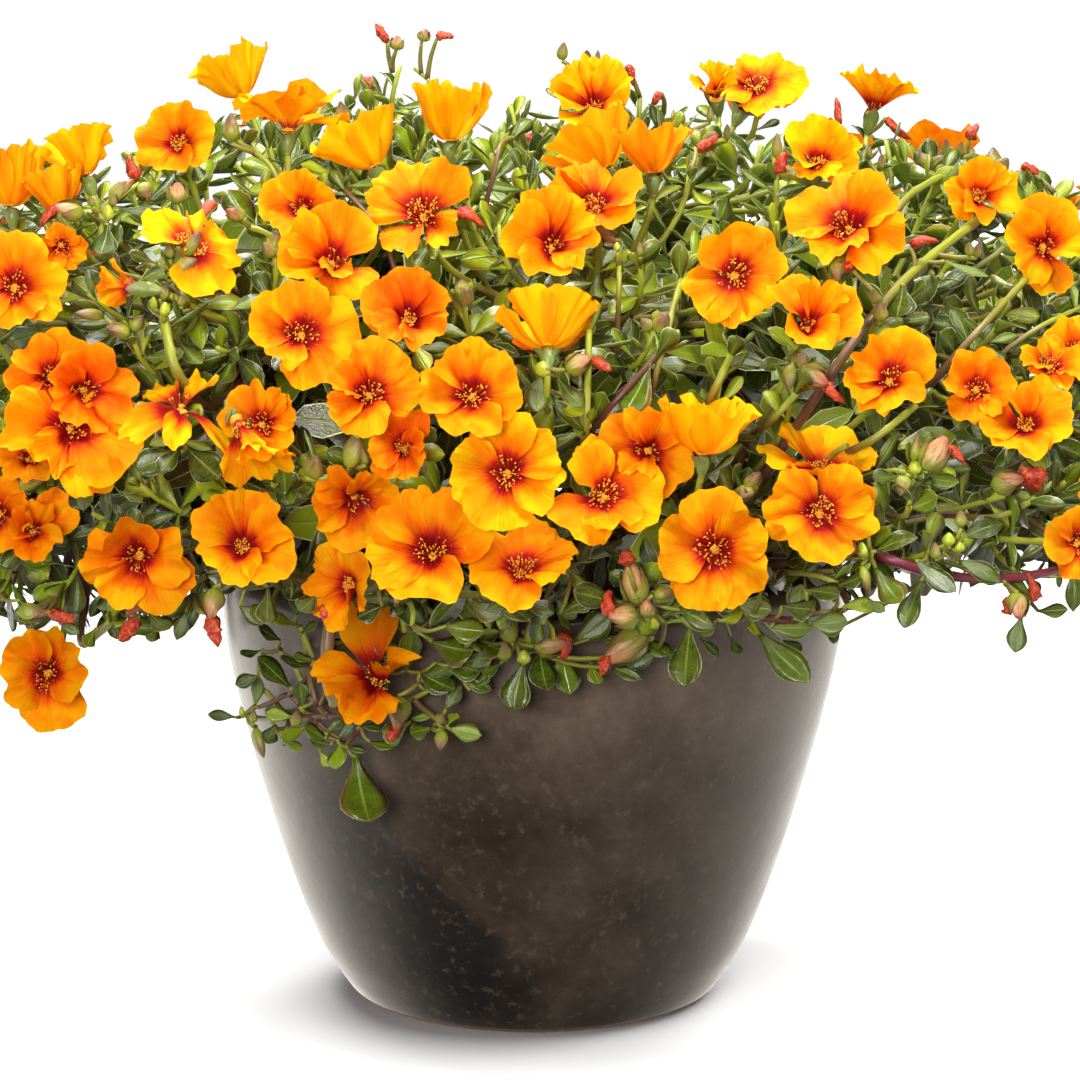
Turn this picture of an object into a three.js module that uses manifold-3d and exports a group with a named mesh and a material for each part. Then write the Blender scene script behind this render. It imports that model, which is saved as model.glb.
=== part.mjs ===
// A flowering portulaca in a round glazed pot.
// Millimetres, +Z up, origin at the centre of the pot's foot, on the surface it stands on.
import * as THREE from 'three';
import { mergeVertices } from 'three/addons/utils/BufferGeometryUtils.js';
import Module from 'manifold-3d';

const wasm = await Module();
wasm.setup();

// ---------------------------------------------------------------- dimensions
const GAP = 0.3;                 // clearance between pieces that touch
const POT_HEIGHT = 178;
const POT_WALL = 7.5;
const POT_FLOOR = 10;            // top of the pot's floor
const FOOT_INNER_R = 57;         // inside of the foot ring
const FOOT_RECESS = 3;           // how far the underside is hollowed inside the ring
const DRAIN_HOLE_R = 9;
const ROUND = 32;                // sides of the turned shapes
// outside of the pot, radius against height, from the foot to the rim
const POT_OUTSIDE = [
  [70.5, 0], [74.0, 2.0], [77.6, 6.5], [81.6, 13], [86.6, 22], [93.6, 39],
  [100.2, 58], [106.3, 78], [111.8, 97], [117.2, 118], [121.4, 137],
  [123.7, 152], [124.4, 165], [124.0, 174],
];
const SOIL_TOP = 164;            // soil surface at the wall
const SOIL_CROWN = 168;          // soil surface at the middle
const CROWN_R = 25;              // woody root crown
const CROWN_HALF_HEIGHT = 15;
const CROWN_Z = 171;
const STEM_R = 3.2;              // fleshy main stems at the crown
const STEM_TIP_R = 2.3;
const STALK = 34;                // shortest stem tip that carries a flower
const STALK_HOLD = 36;           // how far a stem tip runs on inside the mound
// the leafy mound: half widths, height above and depth below its middle
const MOUND = { ax: 264, ay: 215, up: 110, downFront: 80, downSide: 95, power: 2.9, z: 240 };
// bare space above the soil, under the leaves, where only stems run
const INNER_DOME = { r: 128, h: 118, z: 170 };
const LOW_SHOOTS = 8;            // leafy masses around the rim
const HIGH_SHOOTS = 7;           // leafy masses on the shoulder
const TOP_SHOOTS = 2;            // leafy masses on top
const MASS_GROOVE = 0.6;         // half the gap between two leafy masses

// flowers: middle of the eye, direction the flower faces, half span, cup depth 0 to 1
const FLOWERS = [
  [115.3, -157.7, 330.8, 0.000, -0.836, 0.548, 22.8, 0.35],
  [6.7, -180.9, 328.1, -0.051, -0.913, 0.404, 19.4, 0.5],
  [-38.8, -164.4, 336.9, -0.052, -0.932, 0.357, 20.3, 0.2],
  [-82.2, -209.0, 301.2, 0.000, -0.836, 0.548, 22.2, 0.35],
  [-20.8, -222.8, 281.8, 0.000, -0.935, 0.355, 19.0, 0.3],
  [24.7, -227.6, 246.1, -0.051, -0.808, 0.587, 21.2, 0.35],
  [64.8, -225.2, 227.9, 0.000, -0.967, 0.256, 21.6, 0.2],
  [101.6, -221.9, 239.9, 0.000, -0.967, 0.256, 20.9, 0.35],
  [-34.8, -221.7, 224.3, 0.052, -0.932, 0.357, 21.3, 0.35],
  [-141.1, -197.5, 219.8, 0.000, -0.978, 0.208, 20.8, 0.3],
  [-166.1, -190.8, 263.9, 0.000, -0.951, 0.309, 24.4, 0.1],
  [72.1, -189.6, 319.7, 0.000, -0.934, 0.358, 18.8, 0.3],
  [189.0, -119.3, 319.4, 0.052, -0.932, 0.357, 17.7, 0.45],
  [-188.3, -160.3, 310.6, -0.103, -0.929, 0.356, 21.0, 0.3],
  [24.1, -31.9, 358.4, 0.000, -0.688, 0.725, 16.5, 0.7],
];

// ---------------------------------------------------------------- helpers
// a closed mesh, with its shared vertices merged, as a solid
function solidOf(geometry) {
  let g = geometry.clone();
  for (const name of Object.keys(g.attributes)) if (name !== 'position') g.deleteAttribute(name);
  g = mergeVertices(g, 1e-4);
  const index = g.getIndex().array, tri = [];
  for (let i = 0; i < index.length; i += 3) {
    const [a, b, c] = [index[i], index[i + 1], index[i + 2]];
    if (a !== b && b !== c && c !== a) tri.push(a, b, c);
  }
  return new wasm.Manifold(new wasm.Mesh({
    numProp: 3,
    vertProperties: new Float32Array(g.attributes.position.array),
    triVerts: new Uint32Array(tri),
  }));
}

function geometryOf(solid) {
  const m = solid.getMesh();
  const g = new THREE.BufferGeometry();
  g.setAttribute('position', new THREE.BufferAttribute(new Float32Array(m.vertProperties), 3));
  g.setIndex(new THREE.BufferAttribute(new Uint32Array(m.triVerts), 1));
  g.computeVertexNormals();
  return g;
}

// the biggest of the bodies that a cut leaves
function biggest(solid) {
  const bodies = solid.decompose();
  return bodies.reduce((a, b) => (b.volume() > a.volume() ? b : a));
}

function lathe(profile, segments) {
  const g = new THREE.LatheGeometry(profile.map(([r, z]) => new THREE.Vector2(r, z)), segments);
  g.rotateX(Math.PI / 2);        // turned about Z, the profile's height along Z
  return g;
}

// ---------------------------------------------------------------- shapes of the whole plant
function potRadius(z) {
  const p = POT_OUTSIDE;
  if (z <= p[0][1]) return p[0][0];
  for (let i = 1; i < p.length; i++) {
    if (z <= p[i][1]) {
      const t = (z - p[i - 1][1]) / (p[i][1] - p[i - 1][1]);
      return p[i - 1][0] + t * (p[i][0] - p[i - 1][0]);
    }
  }
  return p[p.length - 1][0];
}

// distance from the mound's middle to its leafy surface, along a unit direction
function moundRadius(x, y, z) {
  const M = MOUND;
  const h = (Math.abs(x) / M.ax) ** 2.3 + (Math.abs(y) / M.ay) ** 2.3;
  const flat = Math.hypot(x, y) || 1e-9;
  const side = (x / flat) ** 2;
  const down = M.downSide * side + (1 - side) * (y < 0 ? M.downFront : M.downSide);
  const half = z > 0 ? M.up : down;
  const r = (h ** (M.power / 2.3) + (Math.abs(z) / half) ** M.power) ** (-1 / M.power);
  let bump = 0.020 * Math.sin(5.1 * x + 1.3) * Math.cos(4.3 * y - 0.6);
  bump += 0.016 * Math.sin(6.2 * z + 2.2 * x + 0.7) + 0.014 * Math.cos(7.0 * y + 3.0 * x - 1.9);
  bump += 0.06 * -x * Math.max(0, z);
  return r * (1 + bump);
}

function insideMound(p) {
  const x = p.x, y = p.y, z = p.z - MOUND.z, l = Math.hypot(x, y, z);
  return l < 1e-6 || l <= moundRadius(x / l, y / l, z / l);
}

function insideKeepOut(p) {
  const r = Math.hypot(p.x, p.y);
  if (p.z < POT_HEIGHT + 5 && r < potRadius(p.z) + 5) return true;   // the pot and the soil in it
  const D = INNER_DOME;
  return (r / D.r) ** 2 + ((p.z - D.z) / D.h) ** 2 < 1;
}

// how far a ray runs before a test changes
function run(from, dir, blocked, far = 260, step = 1) {
  const p = new THREE.Vector3();
  for (let t = 0; t < far; t += step) {
    p.copy(from).addScaledVector(dir, t);
    if (blocked(p)) return Math.max(t - step, 0.5);
  }
  return far;
}

// a rounded leafy mass: it fills the mound from its seed out to its neighbours
function leafyMass(seed, seeds, detail = 2) {
  const g = new THREE.IcosahedronGeometry(1, detail);
  const pos = g.attributes.position, dir = new THREE.Vector3(), v = new THREE.Vector3();
  for (let i = 0; i < pos.count; i++) {
    dir.fromBufferAttribute(pos, i).normalize();
    const limits = [
      run(seed, dir, (p) => !insideMound(p)),
      run(seed, dir, insideKeepOut),
    ];
    for (const other of seeds) {
      if (other === seed) continue;
      v.copy(other).sub(seed);
      const half = v.length() / 2 - MASS_GROOVE;
      const along = dir.dot(v.normalize());
      if (along > 1e-3) limits.push(half / along);
    }
    const p = 7;
    let sum = 0;
    for (const d of limits) sum += d ** -p;
    const r = sum ** (-1 / p);
    pos.setXYZ(i, seed.x + dir.x * r, seed.y + dir.y * r, seed.z + dir.z * r);
  }
  return g;
}

// a stem along a smooth curve, thicker at the crown than at the tip
function stemGeometry(points, grow = 0, endExtra = 0, sides = 6) {
  const pts = points.map((p) => p.clone());
  const last = pts.length - 1;
  if (endExtra) {
    const out = pts[last].clone().sub(pts[last - 1]).normalize();
    pts[last].addScaledVector(out, endExtra);
    const back = pts[0].clone().sub(pts[1]).normalize();
    pts[0].addScaledVector(back, endExtra);
  }
  const curve = new THREE.CatmullRomCurve3(pts, false, 'centripetal');
  const shape = new THREE.Shape();
  for (let i = 0; i < sides; i++) {
    const a = (i / sides) * Math.PI * 2;
    const [x, y] = [Math.cos(a) * (STEM_R + grow), Math.sin(a) * (STEM_R + grow)];
    if (i === 0) shape.moveTo(x, y); else shape.lineTo(x, y);
  }
  const steps = 9;
  const g = new THREE.ExtrudeGeometry(shape, { steps, bevelEnabled: false, curveSegments: 1, extrudePath: curve });
  // taper every ring towards the curve
  const ring = curve.getSpacedPoints(steps);
  const pos = g.attributes.position, p = new THREE.Vector3();
  for (let i = 0; i < pos.count; i++) {
    p.fromBufferAttribute(pos, i);
    let best = 0, bd = Infinity;
    ring.forEach((q, k) => { const d = q.distanceTo(p); if (d < bd) { bd = d; best = k; } });
    const want = (STEM_R + (STEM_TIP_R - STEM_R) * (best / steps) + grow) / (STEM_R + grow);
    p.sub(ring[best]).multiplyScalar(want).add(ring[best]);
    pos.setXYZ(i, p.x, p.y, p.z);
  }
  return g;
}

// a flower as one thick five-lobed cup on a short stalk, its eye at the origin, facing +Z
function flowerGeometry({ R, cup, length }, grow = 0) {
  const rim = R * (1 - 0.22 * cup), high = R * (0.12 + 0.75 * cup), t = 0.8 + grow;
  const stalk = length + grow, s = 1.5 + grow;
  const g = lathe([
    [0, -stalk], [s, -stalk], [s, -5 - grow], [3.6 + grow, -2.6 - grow],
    [rim * 0.5, high * 0.28 - t], [rim + grow, high - t],
    [rim + grow, high + t], [rim * 0.5, high * 0.28 + t], [0, 1.6 + grow],
  ], 10);
  const pos = g.attributes.position;
  for (let i = 0; i < pos.count; i++) {
    const x = pos.getX(i), y = pos.getY(i), r = Math.hypot(x, y);
    if (r < rim * 0.4) continue;
    const a = Math.atan2(y, x);
    const lobe = 1 - 0.16 * Math.abs(Math.sin(2.5 * a)) ** 3 * (r / rim);
    pos.setXY(i, x * lobe, y * lobe);
  }
  return g;
}

function placed(geometry, at, facing) {
  const q = new THREE.Quaternion().setFromUnitVectors(new THREE.Vector3(0, 0, 1), facing.clone().normalize());
  geometry.applyQuaternion(q);
  geometry.translate(at.x, at.y, at.z);
  return geometry;
}

// ---------------------------------------------------------------- materials
const finish = (color, roughness, metalness = 0) => new THREE.MeshStandardMaterial({ color, roughness, metalness });
const glaze = finish(0x3f342b, 0.16);
const soilFinish = finish(0x2a1d14, 0.95);
const crownFinish = finish(0x6b4a33, 0.8);
const stemFinish = finish(0x8a6a45, 0.5);
const leafFinish = finish(0x3f5e2c, 0.45);
const petalFinish = finish(0xff8a10, 0.5);

const plant = new THREE.Group();
const pieces = [];
function piece(name, geometry, material) {
  const mesh = new THREE.Mesh(geometry, material);
  mesh.name = name;
  plant.add(mesh);
  pieces.push(mesh);
  return mesh;
}

// ---------------------------------------------------------------- pot
const INSIDE_HEIGHTS = [22, 58, 97, 137, 165];
const inside = INSIDE_HEIGHTS.map((z) => [potRadius(z) - POT_WALL, z]);
piece('pot', lathe([
  [DRAIN_HOLE_R, FOOT_RECESS], [FOOT_INNER_R, FOOT_RECESS], [FOOT_INNER_R + 1.5, 0],
  ...POT_OUTSIDE,
  [122.6, POT_HEIGHT - 1], [120.2, POT_HEIGHT], [117.8, POT_HEIGHT - 1],
  ...inside.reverse(),
  [70, POT_FLOOR + 2.5], [62, POT_FLOOR], [DRAIN_HOLE_R, POT_FLOOR],
  [DRAIN_HOLE_R, FOOT_RECESS],
], ROUND), glaze);

// ---------------------------------------------------------------- root crown and stems
const V = (r, phi, z) => new THREE.Vector3(r * Math.cos(phi), r * Math.sin(phi), z);
const reach = (phi) => {          // the mound's half width in a direction, seen from above
  const c = Math.abs(Math.cos(phi)) / MOUND.ax, s = Math.abs(Math.sin(phi)) / MOUND.ay;
  return (c ** 2.3 + s ** 2.3) ** (-1 / 2.3);
};

const seeds = [], stems = [];
for (let k = 0; k < LOW_SHOOTS; k++) {
  const phi = ((k + 0.5) / LOW_SHOOTS) * Math.PI * 2;
  const R = reach(phi) * 0.80, z = 203 + 5 * Math.sin(2.1 * k + 0.4);
  seeds.push(V(R, phi, z));
  stems.push([V(17, phi, 172), V(38, phi, 196), V(88, phi + 0.03, 221), V(138, phi - 0.03, 220), V(R - 8, phi, z + 4)]);
}
for (let k = 0; k < HIGH_SHOOTS; k++) {
  const phi = ((k + 0.25) / HIGH_SHOOTS) * Math.PI * 2 + 0.12;
  const R = reach(phi) * 0.60, z = 292 + 4 * Math.sin(1.7 * k);
  seeds.push(V(R, phi, z));
  stems.push([V(11, phi, 181), V(22, phi, 212), V(58, phi - 0.04, 252), V(R - 14, phi, z - 8)]);
}
for (let k = 0; k < TOP_SHOOTS; k++) {
  const phi = (k / TOP_SHOOTS) * Math.PI * 2 + 0.3;
  seeds.push(V(52, phi, 318));
  stems.push([V(4.5, phi, 184), V(12, phi + 0.1, 230), V(34, phi, 276), V(48, phi, 306)]);
}

// one shoot hangs over the rim at the front left, on a stem of its own
const hangSeed = new THREE.Vector3(-72, -124, 141);
const hangStem = [
  new THREE.Vector3(-12.5, -12.5, 173), new THREE.Vector3(-40, -46, 194), new THREE.Vector3(-66, -102, 198),
  new THREE.Vector3(-75, -127, 183), new THREE.Vector3(-77, -131, 158), new THREE.Vector3(-74, -128, 147),
];

const allStems = [...stems, hangStem];
const stemHoles = allStems.map((pts) => solidOf(stemGeometry(pts, GAP, 0.6)));

// crown: a knobbly body that the stems are set in
const crownShape = new THREE.IcosahedronGeometry(1, 2);
{
  const pos = crownShape.attributes.position, d = new THREE.Vector3();
  for (let i = 0; i < pos.count; i++) {
    d.fromBufferAttribute(pos, i).normalize();
    const knob = 1 + 0.07 * Math.sin(5 * d.x + 2) * Math.cos(4 * d.y) + 0.05 * Math.sin(6 * d.z + 3 * d.y);
    pos.setXYZ(i, d.x * CROWN_R * knob, d.y * CROWN_R * knob, CROWN_Z + d.z * CROWN_HALF_HEIGHT * knob);
  }
}
let crown = solidOf(crownShape);
for (const hole of stemHoles) crown = crown.subtract(hole);
piece('root_crown', geometryOf(biggest(crown)), crownFinish);

// soil: fills the pot, hollowed where the crown sits in it
const soilInside = INSIDE_HEIGHTS.filter((z) => z < SOIL_TOP).map((z) => [potRadius(z) - POT_WALL - GAP, z]);
let soil = solidOf(lathe([
  [0, POT_FLOOR + GAP], [61.7, POT_FLOOR + GAP], [69.6, POT_FLOOR + 2.5 + GAP], ...soilInside,
  [potRadius(SOIL_TOP) - POT_WALL - GAP - 0.1, SOIL_TOP], [70, SOIL_TOP + 2.5], [0, SOIL_CROWN],
], ROUND));
{
  const hollow = crownShape.clone();
  const pos = hollow.attributes.position, d = new THREE.Vector3();
  for (let i = 0; i < pos.count; i++) {
    d.fromBufferAttribute(pos, i).sub(new THREE.Vector3(0, 0, CROWN_Z));
    const l = d.length();
    d.multiplyScalar((l + 0.4) / l);
    pos.setXYZ(i, d.x, d.y, d.z + CROWN_Z);
  }
  soil = soil.subtract(solidOf(hollow));
}
piece('potting_soil', geometryOf(biggest(soil)), soilFinish);

stems.forEach((pts, i) => piece(`main_stem_${String(i + 1).padStart(2, '0')}`, stemGeometry(pts), stemFinish));
piece('trailing_stem', stemGeometry(hangStem), stemFinish);

// ---------------------------------------------------------------- flowers
const flowers = FLOWERS.map(([x, y, z, a, b, c, R, cup]) => ({
  at: new THREE.Vector3(x, y, z), facing: new THREE.Vector3(a, b, c), R, cup,
}));
// more around the sides, the back and the top, set on the mound's surface
// as direction around, direction up, half span, cup depth, height above the leaves
const AROUND = [[0.24, 0.05, 20, 0.35, 10], [1.0, 0.55, 19, 0.4, 10], [1.25, 0.1, 20, 0.3, 22], [2.1, 0.4, 21, 0.25, 10], [2.9, 0.05, 20, 0.35, 10]];
for (const [phi, tilt, R, cup, off] of AROUND) {
  const d = new THREE.Vector3(Math.cos(phi) * Math.cos(tilt), Math.sin(phi) * Math.cos(tilt), Math.sin(tilt));
  const at = d.clone().multiplyScalar(moundRadius(d.x, d.y, d.z) + off);
  at.z += MOUND.z;
  flowers.push({ at, facing: d.clone().add(new THREE.Vector3(0, 0, 0.35)), R, cup });
}
for (const f of flowers) {        // the stem tip reaches into the leaves behind the flower
  const back = f.facing.clone().normalize().negate();
  f.length = Math.max(STALK, run(f.at, back, insideMound) + STALK_HOLD);
}
const flowerHoles = flowers.map((f) => solidOf(placed(flowerGeometry(f, GAP + 0.1), f.at, f.facing)));
flowers.forEach((f, i) => piece(`flower_${String(i + 1).padStart(2, '0')}`,
  placed(flowerGeometry(f), f.at, f.facing), petalFinish));

// ---------------------------------------------------------------- leafy masses
function clearOf(solid, holes) {
  const box = (s) => s.boundingBox();
  const touch = (a, b) => a.min.every((m, k) => m < b.max[k]) && b.min.every((m, k) => m < a.max[k]);
  let out = solid;
  for (const h of holes) if (touch(box(solid), box(h))) out = out.subtract(h);
  return out;
}
seeds.forEach((seed, i) => {
  const mass = clearOf(solidOf(leafyMass(seed, seeds)), [...stemHoles, ...flowerHoles]);
  piece(`leafy_shoots_${String(i + 1).padStart(2, '0')}`, geometryOf(biggest(mass)), leafFinish);
});

// the hanging shoot, flattened against the pot
{
  const g = new THREE.IcosahedronGeometry(1, 2);
  const pos = g.attributes.position, d = new THREE.Vector3(), dir = new THREE.Vector3();
  const out = new THREE.Vector3(hangSeed.x, hangSeed.y, 0).normalize();
  const across = new THREE.Vector3(out.y, -out.x, 0);
  for (let i = 0; i < pos.count; i++) {
    d.fromBufferAttribute(pos, i).normalize();
    const v = new THREE.Vector3().addScaledVector(across, d.x * 54).addScaledVector(out, d.y * 15);
    v.z += d.z * 17;
    dir.copy(v).normalize();
    const free = run(hangSeed, dir, insideKeepOut);
    const r = (v.length() ** -8 + free ** -8) ** (-1 / 8);
    pos.setXYZ(i, hangSeed.x + dir.x * r, hangSeed.y + dir.y * r, hangSeed.z + dir.z * r);
  }
  piece('trailing_shoot', geometryOf(biggest(clearOf(solidOf(g), [...stemHoles, ...flowerHoles]))), leafFinish);
}

export default plant;
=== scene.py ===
import math

import bpy
import numpy as np
from mathutils import Matrix, Vector


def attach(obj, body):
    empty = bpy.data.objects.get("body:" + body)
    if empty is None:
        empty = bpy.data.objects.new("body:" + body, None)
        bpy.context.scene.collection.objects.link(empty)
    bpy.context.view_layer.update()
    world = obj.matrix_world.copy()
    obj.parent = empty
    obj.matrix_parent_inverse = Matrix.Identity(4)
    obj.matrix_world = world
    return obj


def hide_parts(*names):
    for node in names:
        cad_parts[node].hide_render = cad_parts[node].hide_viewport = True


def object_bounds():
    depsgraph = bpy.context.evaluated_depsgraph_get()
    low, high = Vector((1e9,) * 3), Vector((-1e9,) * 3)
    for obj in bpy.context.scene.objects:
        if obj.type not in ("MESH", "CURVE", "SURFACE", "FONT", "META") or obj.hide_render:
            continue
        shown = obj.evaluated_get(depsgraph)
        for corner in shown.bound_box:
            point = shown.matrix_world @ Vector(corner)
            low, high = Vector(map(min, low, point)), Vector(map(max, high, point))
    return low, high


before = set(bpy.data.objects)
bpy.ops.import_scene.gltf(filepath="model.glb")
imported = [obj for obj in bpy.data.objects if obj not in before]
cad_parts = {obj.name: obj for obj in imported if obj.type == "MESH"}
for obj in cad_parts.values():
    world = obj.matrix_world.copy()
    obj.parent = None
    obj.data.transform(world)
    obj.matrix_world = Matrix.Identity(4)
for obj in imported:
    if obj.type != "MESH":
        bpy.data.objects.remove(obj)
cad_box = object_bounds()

MM = 0.001
TAU = 2 * math.pi
rng = np.random.default_rng(7341)

# ------------------------------------------------------------------ the camera, in millimetres
ELEVATION = math.radians(12.0)
DISTANCE = 2000.0
FOCAL = 5000.0                       # focal length in pixels of the 1080 frame
TARGET = np.array([2.8, 0.0, 183.3])
FWD = np.array([0.0, math.cos(ELEVATION), -math.sin(ELEVATION)])
UP = np.array([0.0, math.sin(ELEVATION), math.cos(ELEVATION)])
RIGHT = np.array([1.0, 0.0, 0.0])
EYE = TARGET - FWD * DISTANCE

# ------------------------------------------------------------------ shapes shared with the CAD part
POT_HEIGHT, POT_WALL, POT_FLOOR = 178.0, 7.5, 10.0
FOOT_INNER_R, FOOT_RECESS, DRAIN_HOLE_R = 57.0, 3.0, 9.0
POT_OUTSIDE = np.array([
    [70.5, 0], [74.0, 2.0], [77.6, 6.5], [81.6, 13], [86.6, 22], [93.6, 39], [100.2, 58], [106.3, 78],
    [111.8, 97], [117.2, 118], [121.4, 137], [123.7, 152], [124.4, 165], [124.0, 174]])
SOIL_TOP, SOIL_CROWN = 164.0, 168.0
CROWN_R, CROWN_HALF_HEIGHT, CROWN_Z = 25.0, 15.0, 171.0
STEM_R, STEM_TIP_R = 3.2, 2.3
MOUND = dict(ax=264.0, ay=215.0, up=110.0, down_front=80.0, down_side=95.0, power=2.9, z=240.0)
MIDDLE = np.array([0.0, 0.0, MOUND["z"]])


def unit(v):
    v = np.asarray(v, float)
    return v / np.maximum(np.linalg.norm(v, axis=-1, keepdims=True), 1e-9)


def mound_radius(d):
    """How far the leafy surface is from MIDDLE, along the unit directions d."""
    x, y, z = d[..., 0], d[..., 1], d[..., 2]
    h = (np.abs(x) / MOUND["ax"]) ** 2.3 + (np.abs(y) / MOUND["ay"]) ** 2.3
    flat = np.maximum(np.hypot(x, y), 1e-9)
    side = (x / flat) ** 2
    down = MOUND["down_side"] * side + (1 - side) * np.where(y < 0, MOUND["down_front"], MOUND["down_side"])
    half = np.where(z > 0, MOUND["up"], down)
    n = MOUND["power"]
    r = (h ** (n / 2.3) + (np.abs(z) / half) ** n) ** (-1 / n)
    bump = 0.020 * np.sin(5.1 * x + 1.3) * np.cos(4.3 * y - 0.6)
    bump += 0.016 * np.sin(6.2 * z + 2.2 * x + 0.7) + 0.014 * np.cos(7.0 * y + 3.0 * x - 1.9)
    bump += 0.06 * -x * np.maximum(0, z)
    return r * (1 + bump)


def depth_in(p):
    """1 on the mound's surface, 0 in its middle."""
    d = np.asarray(p, float) - MIDDLE
    l = np.maximum(np.linalg.norm(d, axis=-1), 1e-9)
    return l / mound_radius(d / l[..., None])


def mound_normal(p):
    e = 2.0
    g = np.array([depth_in(p + e * a) - depth_in(p - e * a) for a in np.eye(3)])
    return unit(g.T if g.ndim > 1 else g)


def pot_radius(z):
    return np.interp(z, POT_OUTSIDE[:, 1], POT_OUTSIDE[:, 0])


def ray(x, y):
    return unit(RIGHT * (x - 540) / FOCAL + UP * (540 - y) / FOCAL + FWD)


def on_mound(x, y, off=0.0):
    """Where the sight line through a point of the frame meets the mound, grown by off, or passes closest to it."""
    t = np.arange(1500.0, 2500.0, 0.5)
    p = EYE + ray(x, y) * t[:, None]
    d = p - MIDDLE
    l = np.linalg.norm(d, axis=1)
    g = l / (mound_radius(d / l[:, None]) + off)
    inside = np.nonzero(g <= 1)[0]
    return p[inside[0]] if len(inside) else p[np.argmin(g)]


def on_pot(x, y, off=8.0):
    """The same for the pot, grown by off."""
    t = np.arange(1500.0, 2500.0, 0.5)
    p = EYE + ray(x, y) * t[:, None]
    g = np.hypot(p[:, 0], p[:, 1]) - pot_radius(p[:, 2]) - off
    inside = np.nonzero(g <= 0)[0]
    return p[inside[0]] if len(inside) else p[np.argmin(g)]


def project(p):
    d = np.asarray(p, float) - EYE
    depth = d @ FWD
    return 540 + FOCAL * (d @ RIGHT) / depth, 540 - FOCAL * (d @ UP) / depth, depth


def seen_axis(a, b, c):
    """A direction given as right, up and towards the viewer."""
    return unit(RIGHT * a + UP * b - FWD * c)


# ------------------------------------------------------------------ mesh building
class Soup:
    """Collects vertices, faces and face-corner UVs, and makes one object of them."""

    def __init__(self):
        self.co, self.faces, self.uvs, self.mats, self.n = [], [], [], [], 0

    def add(self, co, faces, uv, mat=0):
        co, faces = np.asarray(co, float).reshape(-1, 3), np.asarray(faces, int)
        self.co.append(co)
        self.faces.append(faces + self.n)
        self.uvs.append(np.asarray(uv, float).reshape(len(faces), faces.shape[1], 2))
        self.mats.append(np.full(len(faces), mat))
        self.n += len(co)

    def more(self, faces, uv, mat=0, back=0):
        """More faces on the vertices of the last add, whose first vertex is back from the end."""
        faces = np.asarray(faces, int) + self.n - back
        self.faces.append(faces)
        self.uvs.append(np.asarray(uv, float).reshape(len(faces), faces.shape[1], 2))
        self.mats.append(np.full(len(faces), mat))

    def triangles(self):
        return sum(len(f) * (f.shape[1] - 2) for f in self.faces)

    def build(self, name, materials, smooth=True):
        me = bpy.data.meshes.new(name)
        co = np.concatenate(self.co) * MM
        me.vertices.add(len(co))
        me.vertices.foreach_set("co", co.astype(np.float32).ravel())
        loops = np.concatenate([f.ravel() for f in self.faces])
        totals = np.concatenate([np.full(len(f), f.shape[1]) for f in self.faces])
        starts = np.concatenate([[0], np.cumsum(totals)[:-1]])
        me.loops.add(len(loops))
        me.loops.foreach_set("vertex_index", loops.astype(np.int32))
        me.polygons.add(len(totals))
        me.polygons.foreach_set("loop_start", starts.astype(np.int32))
        me.polygons.foreach_set("material_index", np.concatenate(self.mats).astype(np.int32))
        me.polygons.foreach_set("use_smooth", np.full(len(totals), smooth))
        layer = me.uv_layers.new(name="OFBake")
        layer.data.foreach_set("uv", np.concatenate([u.reshape(-1, 2) for u in self.uvs]).astype(np.float32).ravel())
        me.update(calc_edges=True)
        me.validate()
        for m in materials:
            me.materials.append(m)
        ob = bpy.data.objects.new(name, me)
        bpy.context.scene.collection.objects.link(ob)
        return ob


def grid_faces(rows, cols, close=False):
    """Quads of a grid of rows by cols vertices, rows first, and each corner's (row, col)."""
    width = cols if close else cols - 1
    r, c = np.meshgrid(np.arange(rows - 1), np.arange(width), indexing="ij")
    r, c = r.ravel(), c.ravel()
    corners = np.stack([np.stack([r, c], 1), np.stack([r, c + 1], 1), np.stack([r + 1, c + 1], 1), np.stack([r + 1, c], 1)], 1)
    faces = corners[..., 0] * cols + corners[..., 1] % cols
    return faces, corners


def frames_along(path):
    """A pair of perpendicular unit vectors at each point, turning as little as possible."""
    t = unit(np.gradient(path, axis=0))
    a = np.cross(t[0], [0, 0, 1.0])
    if np.linalg.norm(a) < 0.2:
        a = np.cross(t[0], [1.0, 0, 0])
    a = unit(a)
    first, second = [], []
    for k in range(len(path)):
        a = unit(a - t[k] * (a @ t[k]))
        first.append(a)
        second.append(np.cross(t[k], a))
    return np.array(first), np.array(second), t


def tube(soup, path, radii, sides=8, mat=0, cell=(0, 0, 1, 1), v_of=None, knots=None, caps=True):
    """A closed tube along path. cell is (u, v, width, height) in the map, with v along the path."""
    path, radii = np.asarray(path, float), np.asarray(radii, float)
    n = len(path)
    e1, e2, _ = frames_along(path)
    a = np.arange(sides) / sides * TAU
    ring = np.cos(a)[None, :, None] * e1[:, None] + np.sin(a)[None, :, None] * e2[:, None]
    r = np.repeat(radii[:, None], sides, 1)
    if knots is not None:
        r = r * knots(np.linspace(0, 1, n)[:, None], a[None, :])
    co = path[:, None] + ring * r[..., None]
    faces, corners = grid_faces(n, sides, close=True)
    v = np.linspace(0, 1, n) if v_of is None else v_of
    uv = np.stack([cell[0] + cell[2] * corners[..., 1] / sides, cell[1] + cell[3] * v[corners[..., 0]]], -1)
    soup.add(co.reshape(-1, 3), faces, uv, mat)
    if caps:
        order = np.arange(sides)
        lo = [cell[0] + cell[2] * 0.5, cell[1] + cell[3] * v[0]]
        hi = [cell[0] + cell[2] * 0.5, cell[1] + cell[3] * v[-1]]
        soup.more([order[::-1]], [[lo] * sides], mat, back=n * sides)
        soup.more([order + (n - 1) * sides], [[hi] * sides], mat, back=n * sides)


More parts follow.
